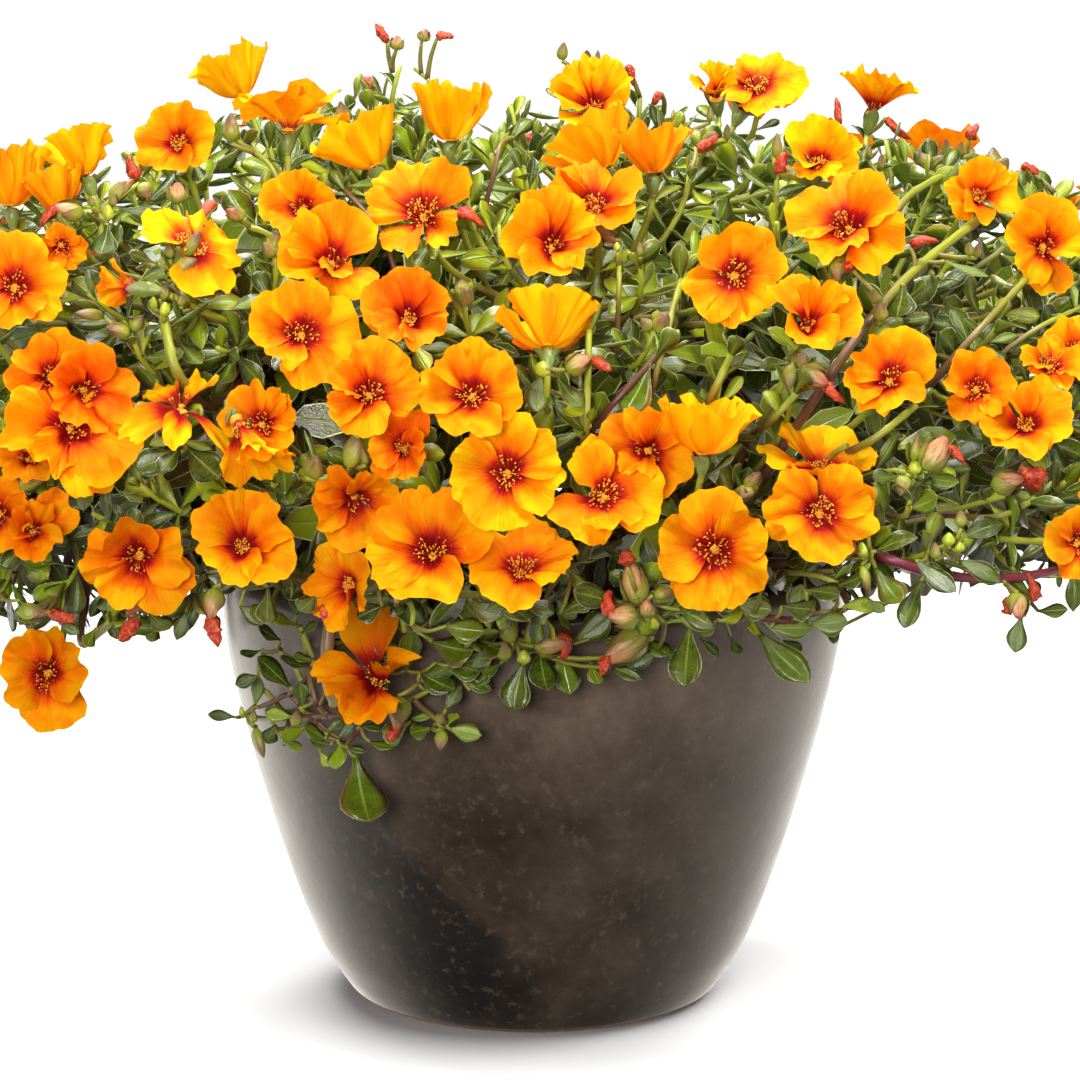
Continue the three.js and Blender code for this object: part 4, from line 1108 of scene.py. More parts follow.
def make_flower(number, f):
    g = np.random.default_rng(900 + number * 17)
    soup = Soup()
    ratio = 0.12 + 0.5 * f.cup + 1.1 * f.cup ** 2
    if f.petals is None:
        put = framed(f.eye, f.facing, g.uniform(0, TAU))
        lift = math.atan(ratio)
        half = min(0.83 / math.cos(min(lift, 1.1)) ** 0.52, 1.15)
        full = f.R / max(math.cos(lift), 0.55)
        plan = [(k * TAU / 5 + g.normal(0, 0.09), math.tan(np.clip(lift + g.normal(0, 0.13 + 0.12 * f.cup), -0.3, 1.2)), full * (1 + g.normal(0, 0.05)), half * (1 + g.normal(0, 0.06))) for k in range(5)]
    else:
        put = framed(f.eye, f.facing, 0.0)
        plan = f.petals
    rows, cols = (15, 23) if f.seen is not None else (9, 11)
    s = np.linspace(-1, 1, cols)[None, :]
    v = np.linspace(0, 1, rows)[:, None] ** 0.9
    twist = 1 if g.random() < 0.5 else -1
    bowl = f.seen in OUTSIDE and f.seen != 1
    for k, (azimuth, rise, full, half) in enumerate(plan):
        flare = 0.15 + 0.55 * f.cup + g.normal(0, 0.22)
        if bowl:
            flare = 0.25 + 0.3 * f.cup + g.normal(0, 0.08)
        u0, r0, z0, sl0, _ = midline(float(np.clip(rise, -0.6, 2.6)), flare, 0.05 if bowl else 1.25)
        L = full / math.hypot(r0[-1], z0[-1])
        notch = g.uniform(0.03, 0.12) * (1.4 if f.style == "apart" else 0.6 if bowl else 1)
        shoulder = g.uniform(0.28, 0.40) if f.style != "star" else 0.62
        top = 1 - shoulder * np.abs(s) ** g.uniform(2.5, 3.5) - notch * np.exp(-((s - g.uniform(-0.12, 0.12)) / 0.20) ** 2)
        top = top + 0.020 * np.sin(TAU * 1.2 * s + g.uniform(0, TAU)) + 0.013 * np.sin(TAU * g.uniform(2.0, 3.2) * s + g.uniform(0, TAU))
        top = top + 0.009 * np.sin(TAU * g.uniform(3.8, 5.2) * s + g.uniform(0, TAU))
        u = np.clip(v * top, 0, 1)
        rho = np.interp(u, u0, r0) * L + 0.02 * f.R
        z = np.interp(u, u0, z0) * L
        slope = np.interp(u, u0, sl0)
        ease = np.clip(u / 0.55, 0, 1)
        ease = ease * ease * (3 - 2 * ease)
        wide = half * (0.80 + 0.26 * ease)
        off = 0.10 * twist * s * ease                                    # each petal laps over the next
        off = off + g.uniform(-0.7, 1.5) * 0.12 * s ** 2 * u              # edges curled in or back
        off = off + 0.080 * u ** 1.6 * g.uniform(0.5, 1.3) * np.sin(math.pi * g.uniform(0.9, 1.7) * s + g.uniform(0, TAU))
        off = off + 0.058 * u ** 2.5 * g.uniform(0.5, 1.4) * np.sin(TAU * g.uniform(1.0, 1.7) * s + g.uniform(0, TAU))
        off = off + 0.036 * v ** 4 * g.uniform(0.5, 1.4) * np.sin(TAU * g.uniform(2.2, 3.8) * s + g.uniform(0, TAU))
        off = off - 0.045 * np.exp(-(s / 0.20) ** 2) * np.sin(math.pi * np.clip(u, 0, 1)) * g.uniform(0.3, 1.4)   # the crease along the middle
        off = off + 0.05 * np.sin(TAU * g.uniform(0.6, 1.0) * u + g.uniform(0, TAU)) * u * (1 - np.abs(s) * 0.4)
        if f.style == "wavy":
            off = off * 1.7
        off = off * full
        rho = rho - np.sin(slope) * off
        z = z + np.cos(slope) * off
        angle = azimuth + s * wide + 0.10 * u * np.sin(g.uniform(0, TAU))
        co = np.stack([rho * np.cos(angle), rho * np.sin(angle), z - 0.6], -1)
        faces, corners = grid_faces(rows, cols)
        cell = (k % 3, k // 3)
        pu = (cell[0] + 0.5 + 0.48 * s[0][corners[..., 1]]) / PETAL_COLS
        low = 0.62 if f.seen in OUTSIDE and k != 3 else 0.0
        pv = (cell[1] + 0.02 + 0.96 * (low + (1 - low) * u[corners[..., 0], corners[..., 1]])) / PETAL_ROWS
        soup.add(put(co.reshape(-1, 3)), faces[:, ::-1], np.stack([pu, pv], -1)[:, ::-1], 0)

    # stamens: a tuft of crimson threads with golden heads
    count = 74 if f.seen is not None else 28
    if f.style == "star" or f.seen in (9, 34):
        count = 6
    big = float(np.clip(f.R * 0.29, 4.6, 6.6))
    lean = np.sqrt(g.uniform(0.0, 1.0, count)) * (0.80 if f.cup < 0.6 else 0.42)
    turn = g.uniform(0, TAU, count)
    out = np.stack([np.cos(turn), np.sin(turn), np.zeros(count)], 1)
    length = big * g.uniform(0.78, 1.12, count)
    foot = out * (0.5 + 1.7 * lean[:, None])
    bow = g.uniform(-0.12, 0.22, count)
    ts = np.array([0.0, 0.5, 1.0])
    dirs = out * np.sin(lean)[:, None] + np.array([0, 0, 1.0]) * np.cos(lean)[:, None]
    path = foot[:, None] + dirs[:, None] * (length[:, None] * ts)[..., None] + out[:, None] * (bow[:, None] * length[:, None] * (ts * ts))[..., None] * 0.6
    path[..., 2] += 0.3
    e1 = unit(np.cross(dirs, [0.3, 0.2, 1.0]))
    e2 = np.cross(dirs, e1)
    a = np.arange(3) / 3 * TAU
    ring = np.cos(a)[None, :, None] * e1[:, None] + np.sin(a)[None, :, None] * e2[:, None]
    rad = np.array([0.21, 0.17, 0.14])
    co = path[:, :, None] + ring[:, None] * rad[None, :, None, None]
    faces, corners = grid_faces(3, 3, close=True)
    all_faces = (faces[None] + np.arange(count)[:, None, None] * 9).reshape(-1, 4)
    fu = FILAMENT[0] + FILAMENT[2] * corners[..., 1] / 3
    fv = FILAMENT[1] + FILAMENT[3] * corners[..., 0] / 2
    soup.add(put(co.reshape(-1, 3)), all_faces, np.tile(np.stack([fu, fv], -1), (count, 1, 1)), 1)
    octa = np.array([[0, 0, 1], [1, 0, 0], [0, 1, 0], [-1, 0, 0], [0, -1, 0], [0, 0, -1.0]])
    octa_faces = np.array([[0, 1, 2], [0, 2, 3], [0, 3, 4], [0, 4, 1], [5, 2, 1], [5, 3, 2], [5, 4, 3], [5, 1, 4]])
    heads = path[:, -1]
    tilt = unit(dirs + g.normal(0, 0.6, (count, 3)))
    h1 = unit(np.cross(tilt, [0.1, 0.9, 0.3]))
    h2 = np.cross(tilt, h1)
    size = g.uniform(0.70, 1.05, count) * (f.R / 20) ** 0.4
    co = heads[:, None] + (octa[None, :, 0:1] * h1[:, None] * 0.42 + octa[None, :, 1:2] * h2[:, None] * 0.42 + octa[None, :, 2:3] * tilt[:, None] * 0.64) * size[:, None, None]
    all_faces = (octa_faces[None] + np.arange(count)[:, None, None] * 6).reshape(-1, 3)
    spots = g.uniform(0.1, 0.9, (count, 1, 2)) + np.array([[0, 0.05], [0.05, 0], [0, 0]])[None]
    spots = np.repeat(spots, 8, 0).reshape(-1, 3, 2)
    soup.add(put(co.reshape(-1, 3)), all_faces, spots * [ANTHER[2] * 0.9, ANTHER[3] * 0.9] + [ANTHER[0], ANTHER[1]], 2)
    # the style with its curled stigmas, golden
    for k in range(6):
        phi = k / 6 * TAU + g.normal(0, 0.2)
        o = np.array([math.cos(phi), math.sin(phi), 0])
        tt = np.linspace(0, 1, 4)[:, None]
        bend = o * (0.2 + 1.2 * tt ** 2) + np.array([0, 0, 1]) * (big * 0.48 + 0.9 * tt - 0.6 * tt ** 2)
        tube(soup, put(bend), [0.22, 0.28, 0.26, 0.14], 4, 2, ANTHER, caps=False)
    tube(soup, put(np.array([[0, 0, 0.0], [0, 0, big * 0.3], [0, 0, big * 0.52]])), [0.4, 0.34, 0.28], 4, 2, ANTHER, caps=False)
    # ovary and calyx, then the stalk
    dome = np.array([[2.8, -0.5], [2.5, 0.7], [1.7, 1.6], [0.8, 2.0], [0.02, 2.1]])
    lathe(soup, dome * [1.0, min(1.0, f.R / 20)], 8, 2, ANTHER, place=put)
    prof = np.array([[1.35, -8.6], [1.9, -7.4], [2.7, -5.4], [3.0, -3.4], [2.5, -2.0], [1.9, -1.3], [1.0, -1.0], [0.02, -0.9]])
    lathe(soup, prof, 8, 3, CALYX, place=put)
    for side in (0, 1):
        sv, tv = np.linspace(-1, 1, 5), np.linspace(0, 1, 5)
        S, T_ = np.meshgrid(sv, tv)
        w = np.interp(T_, [0, 0.25, 0.6, 1.0], [0.85, 1.0, 0.62, 0.03])
        ang = side * math.pi + S * w * 1.15
        rr = np.interp(T_, [0, 0.4, 1.0], [2.9, 3.5 + 0.6 * (1 - f.cup), 4.6 + 1.8 * (1 - f.cup)])
        zz = np.interp(T_, [0, 1.0], [-4.2, -0.4 if bowl else 1.6 + 2.2 * f.cup])
        faces, corners = grid_faces(5, 5)
        uvs = np.stack([CALYX[0] + CALYX[2] * corners[..., 1] / 4, CALYX[1] + CALYX[3] * corners[..., 0] / 4], -1)
        soup.add(put(np.stack([rr * np.cos(ang), rr * np.sin(ang), zz], -1).reshape(-1, 3)), faces, uvs, 3)
    return soup, put


# ------------------------------------------------------------------ growing points
TOP_LINE = np.array([(-200, 230), (0, 150), (100, 172), (135, 150), (215, 115), (340, 100), (380, 62), (440, 90), (470, 130), (500, 98), (545, 95), (640, 95), (700, 110),
                     (800, 122), (900, 120), (930, 138), (1000, 163), (1050, 180), (1250, 250)], float)
BOTTOM_LINE = np.array([(-200, 600), (0, 625), (90, 625), (105, 635), (195, 635), (200, 600), (225, 592), (330, 600), (335, 640), (420, 640), (425, 660), (500, 655), (520, 640),
                        (660, 632), (665, 621), (800, 621), (805, 632), (850, 628), (855, 608), (880, 600), (960, 594), (1000, 582), (1080, 590), (1250, 590)], float)


def outside_outline(p, slack=0.0):
    """True where points, as seen, are above the mass's top line or hang below its lower line."""
    x, y, _ = project(p)
    above = y < np.interp(x, TOP_LINE[:, 0], TOP_LINE[:, 1]) - slack
    below = y > np.interp(x, BOTTOM_LINE[:, 0], BOTTOM_LINE[:, 1]) + slack
    hidden = (np.asarray(p)[..., 1] > 40) & (x > 250) & (x < 820)
    return above | (below & ~hidden)


class Tip:
    def __init__(self, at, axis, kind, leaves=None, size=1.0, spread=1.0, flower=None, route=None, young=0.5):
        self.at, self.axis, self.kind = np.array(at, float), unit(axis), kind
        self.leaves, self.size, self.spread, self.flower, self.route, self.young, self.airy = leaves, size, spread, flower, route, young, False


tips = []
for i, f in enumerate(flowers):
    tips.append(Tip(f.eye - f.facing * 8.5, f.facing * 0.8 + unit(f.eye - MIDDLE) * 0.2, "flower", 6, 0.78, 1.1, i, young=0.6))

# buds ("b"), seed heads with a shrivelled red tip ("s") and both ("m") that stand out in the picture
MARKED = [
    (400, 66, "l", 30), (368, 92, "l", 8), (570, 66, "l", 8), (640, 96, "l", 6), (664, 112, "l", 4), (704, 146, "b", 6), (690, 172, "l", 4),
    (777, 168, "l", 4), (840, 128, "l", 6), (886, 140, "l", 4), (973, 150, "l", 12), (1030, 182, "l", 14), (100, 214, "l", 6),
    (128, 184, "l", 4), (185, 268, "l", 6), (196, 236, "b", 4), (160, 300, "l", 4), (600, 240, "l", 4), (640, 262, "l", 3),
    (940, 462, "l", 6), (1012, 494, "l", 4), (640, 600, "l", 8), (516, 640, "l", 10), (915, 474, "l", 6), (868, 552, "l", 8),
    (948, 545, "l", 8), (354, 466, "l", 6), (545, 372, "l", 8), (795, 372, "b", 2), (285, 482, "l", 6), (310, 478, "b", 4),
    (465, 300, "b", 2), (655, 330, "b", 2), (130, 332, "b", 2), (275, 255, "b", 2), (720, 380, "l", 2), (880, 316, "l", 4)]
for x, y, kind, off in MARKED:
    over_pot = y > 625 and 240 < x < 820
    p = on_pot(x, y, 16) if over_pot else on_mound(x, y, off)
    n = mound_normal(p)
    tips.append(Tip(p, n * 0.75 + np.array([0, 0, 0.75 if y < 400 else 0.25]) + rng.normal(0, 0.2, 3), kind, 9, 0.85, 1.1, young=0.8))

HANGING = [
    (352, 716, 9, .2, .5, .8, 6), (300, 706, 9, -.1, .5, .8, 7), (322, 734, 9, -.1, .2, .9, 8), (296, 668, 9, -.2, .6, .7, 6), (344, 742, 9, .1, .1, .9, 7),
    (272, 722, 8, -.2, -.2, .9, 7), (284, 744, 8, -.1, -.2, .9, 5), (264, 690, 8, -.5, .4, .7, 6), (246, 714, 6, -.7, .2, .5, 7), (408, 706, 10, .1, .3, .9, 6),
    (428, 690, 10, .4, .4, .8, 6), (446, 722, 9, .5, .1, .8, 8), (300, 626, 10, -.2, .5, .8, 6), (280, 650, 9, -.2, .5, .8, 6), (330, 680, 8, -.1, .4, .9, 7)]
for x, y, off, a, b, c, count in HANGING:
    tips.append(Tip(on_pot(x, y, off), seen_axis(a, b, c), "l", count, float(rng.uniform(0.88, 1.06)), 1.25, route="hang", young=0.5))

# leaf tips over the whole mound, spread evenly
spots = [t.at for t in tips]
rings_of = []
grid_pts = []
for _ in range(26000):
    d = unit(rng.normal(size=3))
    if d[2] < -0.75:
        continue
    r = mound_radius(d)
    p = MIDDLE + d * (r + rng.normal(-3, 4))
    flat = math.hypot(p[0], p[1])
    if p[2] < 196 and flat < pot_radius(min(p[2], 178)) + 16:
        continue
    if p[2] < 150 or outside_outline(p, -4.0):
        continue
    grid_pts.append(p)
grid_pts = np.array(grid_pts)
chosen = [s for s in spots]
arr = np.array(chosen)
for p in grid_pts:
    dist = np.linalg.norm(arr - p, axis=1)
    seen_x, seen_y, _ = project(p)
    airy = 0 < seen_x < 1080 and seen_y < 250          # the crown of the plant is open, with the ground behind it showing through
    if dist.min() < (27.5 if airy else 24.5):
        continue
    arr = np.vstack([arr, p])
    n = mound_normal(p)
    under = n[2] < -0.35
    axis = n * 0.80 + np.array([0, 0, 0.55 if not under else 0.0]) + rng.normal(0, 0.28, 3)
    in_view = n @ -FWD > 0 and -20 < seen_x < 1100
    kind = "b" if rng.random() < (0.07 if in_view else 0.18) else ("s" if rng.random() < (0.0 if in_view else 0.06) else "l")
    if under:
        kind = "l"
    count = 7 if under else (9 if airy else 12)
    tips.append(Tip(p, axis, kind, count, float(rng.uniform(0.86, 1.22)), 1.0, young=float(rng.uniform(0.1, 0.9)) if not airy else 0.9))
    tips[-1].airy = airy
n_outer = len(tips)
# an inner layer, with fewer and plainer leaves, so that the plant isn't hollow to the eye
arr = np.zeros((1, 3))
for p in grid_pts[::2]:
    q = MIDDLE + (p - MIDDLE) * 0.80
    q[2] += 4
    if q[2] < 190 and math.hypot(q[0], q[1]) < 142:
        continue
    if q[2] > 298 or np.linalg.norm(arr - q, axis=1).min() < 28:
        continue
    arr = np.vstack([arr, q])
    tips.append(Tip(q, mound_normal(q) * 0.6 + np.array([0, 0, 0.5]) + rng.normal(0, 0.4, 3), "inner", 8, 1.1, 1.2, young=0.0))

arr = np.zeros((1, 3))
for p in grid_pts[::3]:
    q = MIDDLE + (p - MIDDLE) * 0.56
    if q[2] < 198 and math.hypot(q[0], q[1]) < 130 or q[2] > 300 or np.linalg.norm(arr - q, axis=1).min() < 27:
        continue
    arr = np.vstack([arr, q])
    tips.append(Tip(q, mound_normal(q) * 0.6 + np.array([0, 0, 0.5]) + rng.normal(0, 0.4, 3), "inner", 8, 1.35, 1.2, young=0.0))
arr = np.zeros((1, 3))
for p in grid_pts[::3]:
    q = MIDDLE + (p - MIDDLE) * 0.68
    if q[2] < 236 or q[2] > 310 or np.linalg.norm(arr - q, axis=1).min() < 36:
        continue
    arr = np.vstack([arr, q])
    tips.append(Tip(q, mound_normal(q) * 0.6 + np.array([0, 0, 0.5]) + rng.normal(0, 0.4, 3), "inner", 8, 1.30, 1.2, young=0.0))
for k in range(4, 52):                # short shoots that close the plant over its soil
    r, phi = 124 * math.sqrt((k + 0.5) / 52), k * 2.39996
    q = np.array([r * math.cos(phi), r * math.sin(phi), 199.0 + 12.0 * (k % 3) + rng.uniform(0, 8)])
    tips.append(Tip(q, np.array([0.5 * math.cos(phi), 0.5 * math.sin(phi), 1.0]) + rng.normal(0, 0.2, 3), "inner", 8, 1.2, 1.2, young=0.0))

# ------------------------------------------------------------------ leaves
LEAF_T = np.array([0.0, 0.13, 0.29, 0.46, 0.63, 0.79, 0.92, 1.0])
OUTLINES = [
    [0.15, 0.20, 0.44, 0.74, 0.96, 0.96, 0.66, 0.10],     # spoon-shaped, rounded
    [0.17, 0.28, 0.60, 0.90, 1.00, 0.84, 0.46, 0.03],     # oval, pointed
    [0.14, 0.18, 0.34, 0.62, 0.92, 1.00, 0.74, 0.14],     # broad near the tip
    [0.17, 0.32, 0.66, 0.94, 0.97, 0.74, 0.34, 0.02],     # lance-shaped
]


def leaf_template(kind, across, along, both):
    g = np.random.default_rng(50 + kind)
    outline = np.array(OUTLINES[(0, 1, 3, 2, 1, 0, 3, 0, 2, 1, 3, 0, 1, 2, 0, 3)[kind]])
    width = g.uniform(0.205, 0.265) * (0.86 if kind % 4 == 2 else 1.0)
    bend = g.uniform(-0.55, 0.75)
    fold = g.uniform(0.15, 0.75)
    thick = g.uniform(0.022, 0.032)
    lean = g.uniform(-0.05, 0.05)
    t = LEAF_T if along == 7 else np.interp(np.linspace(0, 1, along + 1), np.linspace(0, 1, 8), LEAF_T)
    w = np.interp(t, LEAF_T, outline) * width
    if along > 7:
        w = np.interp(t, LEAF_T, outline)
        w = (w + 0.25 * np.interp(np.clip(t - 0.03, 0, 1), LEAF_T, outline) + 0.25 * np.interp(np.clip(t + 0.03, 0, 1), LEAF_T, outline)) / 1.5 * width
    angle = bend * t ** 1.3 + 0.10 * np.sin(3.0 * t + kind)
    step = np.diff(t)
    mid = (angle[1:] + angle[:-1]) / 2
    y = np.concatenate([[0], np.cumsum(np.cos(mid) * step)])
    z = np.concatenate([[0], np.cumsum(np.sin(mid) * step)])
    up_y, up_z = -np.sin(angle), np.cos(angle)

    def side(cols, sign):
        s = np.linspace(-1, 1, cols + 1)
        S = s[None, :] * np.ones(len(t))[:, None]
        W = w[:, None]
        lift = fold * W * (S ** 2) * 0.55 + 0.010 * np.sin(9 * t[:, None] + 2.0 * S + kind) * np.abs(S)
        body = sign * thick * (1 - S ** 2) * np.clip(W / width, 0.25, 1)
        if sign > 0:
            body = body - 0.35 * thick * np.exp(-(S / 0.22) ** 2) * (cols >= 4)
        h = lift + body
        x = S * W + lean * t[:, None] ** 2
        co = np.stack([x, y[:, None] + up_y[:, None] * h, z[:, None] + up_z[:, None] * h], -1)
        return co, s

    col = 2 * (kind % 4)
    row = kind // 4
    top, s = side(across, 1)
    rows = len(t)
    faces, corners = grid_faces(rows, across + 1)
    uv = np.stack([(col + 0.5 + 0.46 * s[corners[..., 1]]) / LEAF_COLS, (row + 0.04 + 0.92 * t[corners[..., 0]]) / LEAF_ROWS], -1)
    co, all_faces, all_uv = top.reshape(-1, 3), [faces], [uv]
    if both:
        under, s2 = side(2, -1)
        middle = under[:, 1]
        start = len(co)
        co = np.vstack([co, middle])
        r = np.arange(rows - 1)
        left, right, mid_i = r * (across + 1), r * (across + 1) + across, start + r
        left2, right2, mid2 = left + across + 1, right + across + 1, mid_i + 1
        under_faces = np.vstack([np.stack([left, left2, mid2, mid_i], 1), np.stack([mid_i, mid2, right2, right], 1)])
        ucol = col + 1
        ul, um, ur = (ucol + 0.04) / LEAF_COLS, (ucol + 0.5) / LEAF_COLS, (ucol + 0.96) / LEAF_COLS
        v1, v2 = (row + 0.04 + 0.92 * t[:-1]) / LEAF_ROWS, (row + 0.04 + 0.92 * t[1:]) / LEAF_ROWS
        uvu = np.vstack([
            np.stack([np.stack([np.full(rows - 1, ul), v1], 1), np.stack([np.full(rows - 1, ul), v2], 1), np.stack([np.full(rows - 1, um), v2], 1), np.stack([np.full(rows - 1, um), v1], 1)], 1),
            np.stack([np.stack([np.full(rows - 1, um), v1], 1), np.stack([np.full(rows - 1, um), v2], 1), np.stack([np.full(rows - 1, ur), v2], 1), np.stack([np.full(rows - 1, ur), v1], 1)], 1)])
        all_faces.append(under_faces)
        all_uv.append(uvu)
        # the two short ends, so that the leaf is closed
        end = (rows - 1)
        tipf = [[end * (across + 1) + c, end * (across + 1) + c + 1] for c in range(across)]
        cap_top = [end * (across + 1) + c for c in range(across + 1)] + [start + end]
        cap_low = [start] + [c for c in range(across, -1, -1)]
        co_faces_end = [cap_top, cap_low]
        return co, all_faces, all_uv, co_faces_end, ((col + 0.5) / LEAF_COLS, (row + 0.9) / LEAF_ROWS)
    return co, all_faces, all_uv, [], (0, 0)


FINE = [leaf_template(k, 4, 9, True) for k in range(16)]
PLAIN = [leaf_template(k, 2, 7, True) for k in range(16)]
ROUGH = [leaf_template(k, 2, 4, False) for k in range(16)]
YOUNG_KINDS, MATURE_KINDS, OLD_KINDS = (0, 1, 2, 11), (3, 4, 5, 6, 7, 8, 9, 10), (9, 12, 13, 14, 15)


class Leaves:
    """Leaves asked for, held until they are stamped into one mesh per leafy mass."""

    def __init__(self):
        self.items = []

    def add(self, mass, kind, detail, at, along, normal, length, width=1.0):
        along = unit(along)
        normal = unit(normal - along * (normal @ along))
        across = np.cross(along, normal)
        self.items.append((mass, kind, detail, at, np.stack([across * length * width, along * length, normal * length]), length))


leaves = Leaves()
GOLDEN = math.radians(137.5)


def grow_leaves(tip, mass, g, path=None):
    """Leaves spiralling down from a tip: small and upright at its end, longer and spread below."""
    axis = tip.axis
    a = unit(np.cross(axis, [0.13, 0.71, 0.4]))
    b = np.cross(axis, a)
    turn = g.uniform(0, TAU)
    flower = tip.kind == "flower"
    inner = tip.kind == "inner"
    for k in range(tip.leaves + (0 if inner or flower or tip.route == "hang" else 1 if tip.airy else 4)):
        rosette = k < tip.leaves
        f = k / max(1, tip.leaves - 1)
        phi = turn + k * GOLDEN + g.normal(0, 0.15)
        radial = a * math.cos(phi) + b * math.sin(phi)
        if flower:
            down, beta, length = 1.0 + 1.2 * k, math.radians(g.uniform(58, 92)), g.uniform(13, 20)
        elif inner:
            down, beta, length = 6.0 * k, math.radians(g.uniform(50, 95)), g.uniform(17, 26)
        elif rosette:
            down = 0.5 + 2.0 * k
            beta = math.radians(28 + 52 * min(f, 1) ** 0.8 + g.normal(0, 9)) * tip.spread
            length = (9.0 + 10.0 * min(1, f * 1.25) ** 0.8) * g.uniform(0.86, 1.16)
        else:
            down = 22 + 8.5 * (k - tip.leaves) + g.uniform(0, 3)
            beta = math.radians(g.uniform(55, 100))
            length = g.uniform(15, 23)
        length *= tip.size
        at = tip.at - axis * down
        away = axis
        if path is not None and down > 6:
            s = np.linalg.norm(np.diff(path, axis=0), axis=1)[::-1].cumsum()
            j = len(path) - 2 - min(int(np.searchsorted(s, down)), len(path) - 2)
            at = path[j]
            away = unit(path[min(j + 1, len(path) - 1)] - path[j])
            radial = unit(radial - away * (radial @ away))
        along = away * math.cos(beta) + radial * math.sin(beta)
        normal = away * math.sin(beta) - radial * math.cos(beta)
        droop = -0.18 * max(0.0, f - 0.3)
        along = unit(along + np.array([0, 0, droop]) + g.normal(0, 0.07, 3))
        normal = unit(normal + g.normal(0, 0.16, 3))
        if rosette and (k < 3 or tip.young > 0.6) and g.random() < 0.75:
            kind = int(g.choice(YOUNG_KINDS))
        elif not rosette or inner or g.random() < 0.13:
            kind = int(g.choice(OLD_KINDS + (6, 7, 10)))
        else:
            kind = int(g.choice(MATURE_KINDS))
        detail = 2 if inner or (not rosette and k > tip.leaves) else 1
        leaves.add(mass, kind, detail, at + radial * 1.0, along, normal, length, g.uniform(0.86, 1.16))


# ------------------------------------------------------------------ twigs
def nearest_mass(p):
    return int(np.argmin(np.linalg.norm(seeds - p, axis=1)))


TWIG_MASSES = 18
twig_soups = [Soup() for _ in range(TWIG_MASSES)]
bud_soups = [Soup() for _ in range(TWIG_MASSES)]
hang_grown = []                       # twigs of the trailing shoot, from which later ones branch
for i, tip in enumerate(tips):
    g = np.random.default_rng(4000 + i)
    mass = nearest_mass(tip.at)
    if i == 53 or tip.route == "hang":
        mass = 17
    curve = hang_curve if mass == 17 else stem_curves[mass]
    n = len(curve)
    part = curve[int(n * (0.72 if mass == 17 else 0.45)):]
    if tip.route == "hang":
        part = np.vstack([part] + hang_grown)
    # leave the stem where the twig can run forward, not back
    d = tip.at - part
    dist = np.linalg.norm(d, axis=1)
    ahead = np.einsum("ij,ij->i", d, unit(np.gradient(part, axis=0))) / np.maximum(dist, 1e-6)
    score = dist * (1.25 - 0.6 * np.clip(ahead, -1, 1))
    j = int(np.argmin(score))
    start = part[j]
    leave = unit(np.gradient(part, axis=0)[j])
    far = float(dist[j])
    push = unit(tip.at - start)
    c1 = start + unit(leave * 0.6 + push * 0.7 + g.normal(0, 0.12, 3)) * far * 0.36
    inward = tip.axis if tip.kind != "flower" else unit(tip.axis * 0.7 + mound_normal(tip.at) * 0.6)
    c2 = tip.at - inward * min(far * 0.42, 46) + g.normal(0, 2.0, 3)
    if mass == 17:
        c1 = start + (push * 0.7 + unit(np.array([start[0], start[1], 0.0])) * 0.4) * far * 0.35
        c2 = tip.at - tip.axis * min(12, far * 0.4)
    path = bezier(start, c1, c2, tip.at, 9 if far < 60 else 12)
    # twigs keep outside the pot
    z = np.clip(path[:, 2], 0, 178)
    flat = np.hypot(path[:, 0], path[:, 1])
    need = pot_radius(z) + 3.4
    low = (path[:, 2] < 182) & (flat < need) & (flat > 100)
    path[low, :2] *= (need[low] / flat[low])[:, None]
    tip.path = path
    tip.mass = mass
    if tip.route == "hang":
        hang_grown.append(path[2:-3])
    thick = 1.50 if tip.kind != "flower" else 1.60
    if tip.route == "hang":
        thick = 1.35
    radii = np.linspace(thick, 1.00 if tip.kind != "flower" else 1.25, len(path))
    age = np.clip(np.linspace(0.30, 1.0, len(path)) + 0.15, 0, 1) if tip.airy else np.linspace(0.0, 0.95 if tip.young > 0.5 else 0.80, len(path))
    tube(twig_soups[mass], path, radii, 3 if tip.kind == "inner" else 6, 0, WHOLE, v_of=age)
    grow_leaves(tip, mass, g, path)


# ------------------------------------------------------------------ buds and seed heads
def cell_of(number, columns=BUD_COLS, rows=BUD_ROWS):
    return ((number % columns) / columns + 0.01, (number // columns) / rows + 0.01, 1 / columns - 0.02, 1 / rows - 0.02)


BUD_PROFILE = np.array([[0.07, 0.0], [0.20, 0.05], [0.33, 0.18], [0.38, 0.36], [0.33, 0.58], [0.21, 0.80], [0.09, 0.94], [0.012, 1.0]])
HEAD_PROFILE = np.array([[0.09, 0.0], [0.19, 0.05], [0.29, 0.18], [0.32, 0.36], [0.28, 0.58], [0.19, 0.80], [0.12, 0.95], [0.11, 1.0]])


def make_bud(soup, at, axis, length, g, mat=0, fat=1.0):
    put = framed(at, axis, g.uniform(0, TAU))
    ridge = g.uniform(0.10, 0.22)
    lobes = g.uniform(0, TAU)

    def shape(r, z, a):
        k = 1 + ridge * np.abs(np.cos(a)) ** 3 + 0.06 * np.cos(3 * a + lobes) + 0.04 * np.cos(5 * a + 2 * lobes)
        return r * k * fat * (0.88 + 0.12 * np.cos(2 * a)), z + 0.0 * a
    lathe(soup, BUD_PROFILE * length, 9, mat, cell_of(int(g.integers(0, 4))), v=BUD_PROFILE[:, 1], shape=shape, place=put)


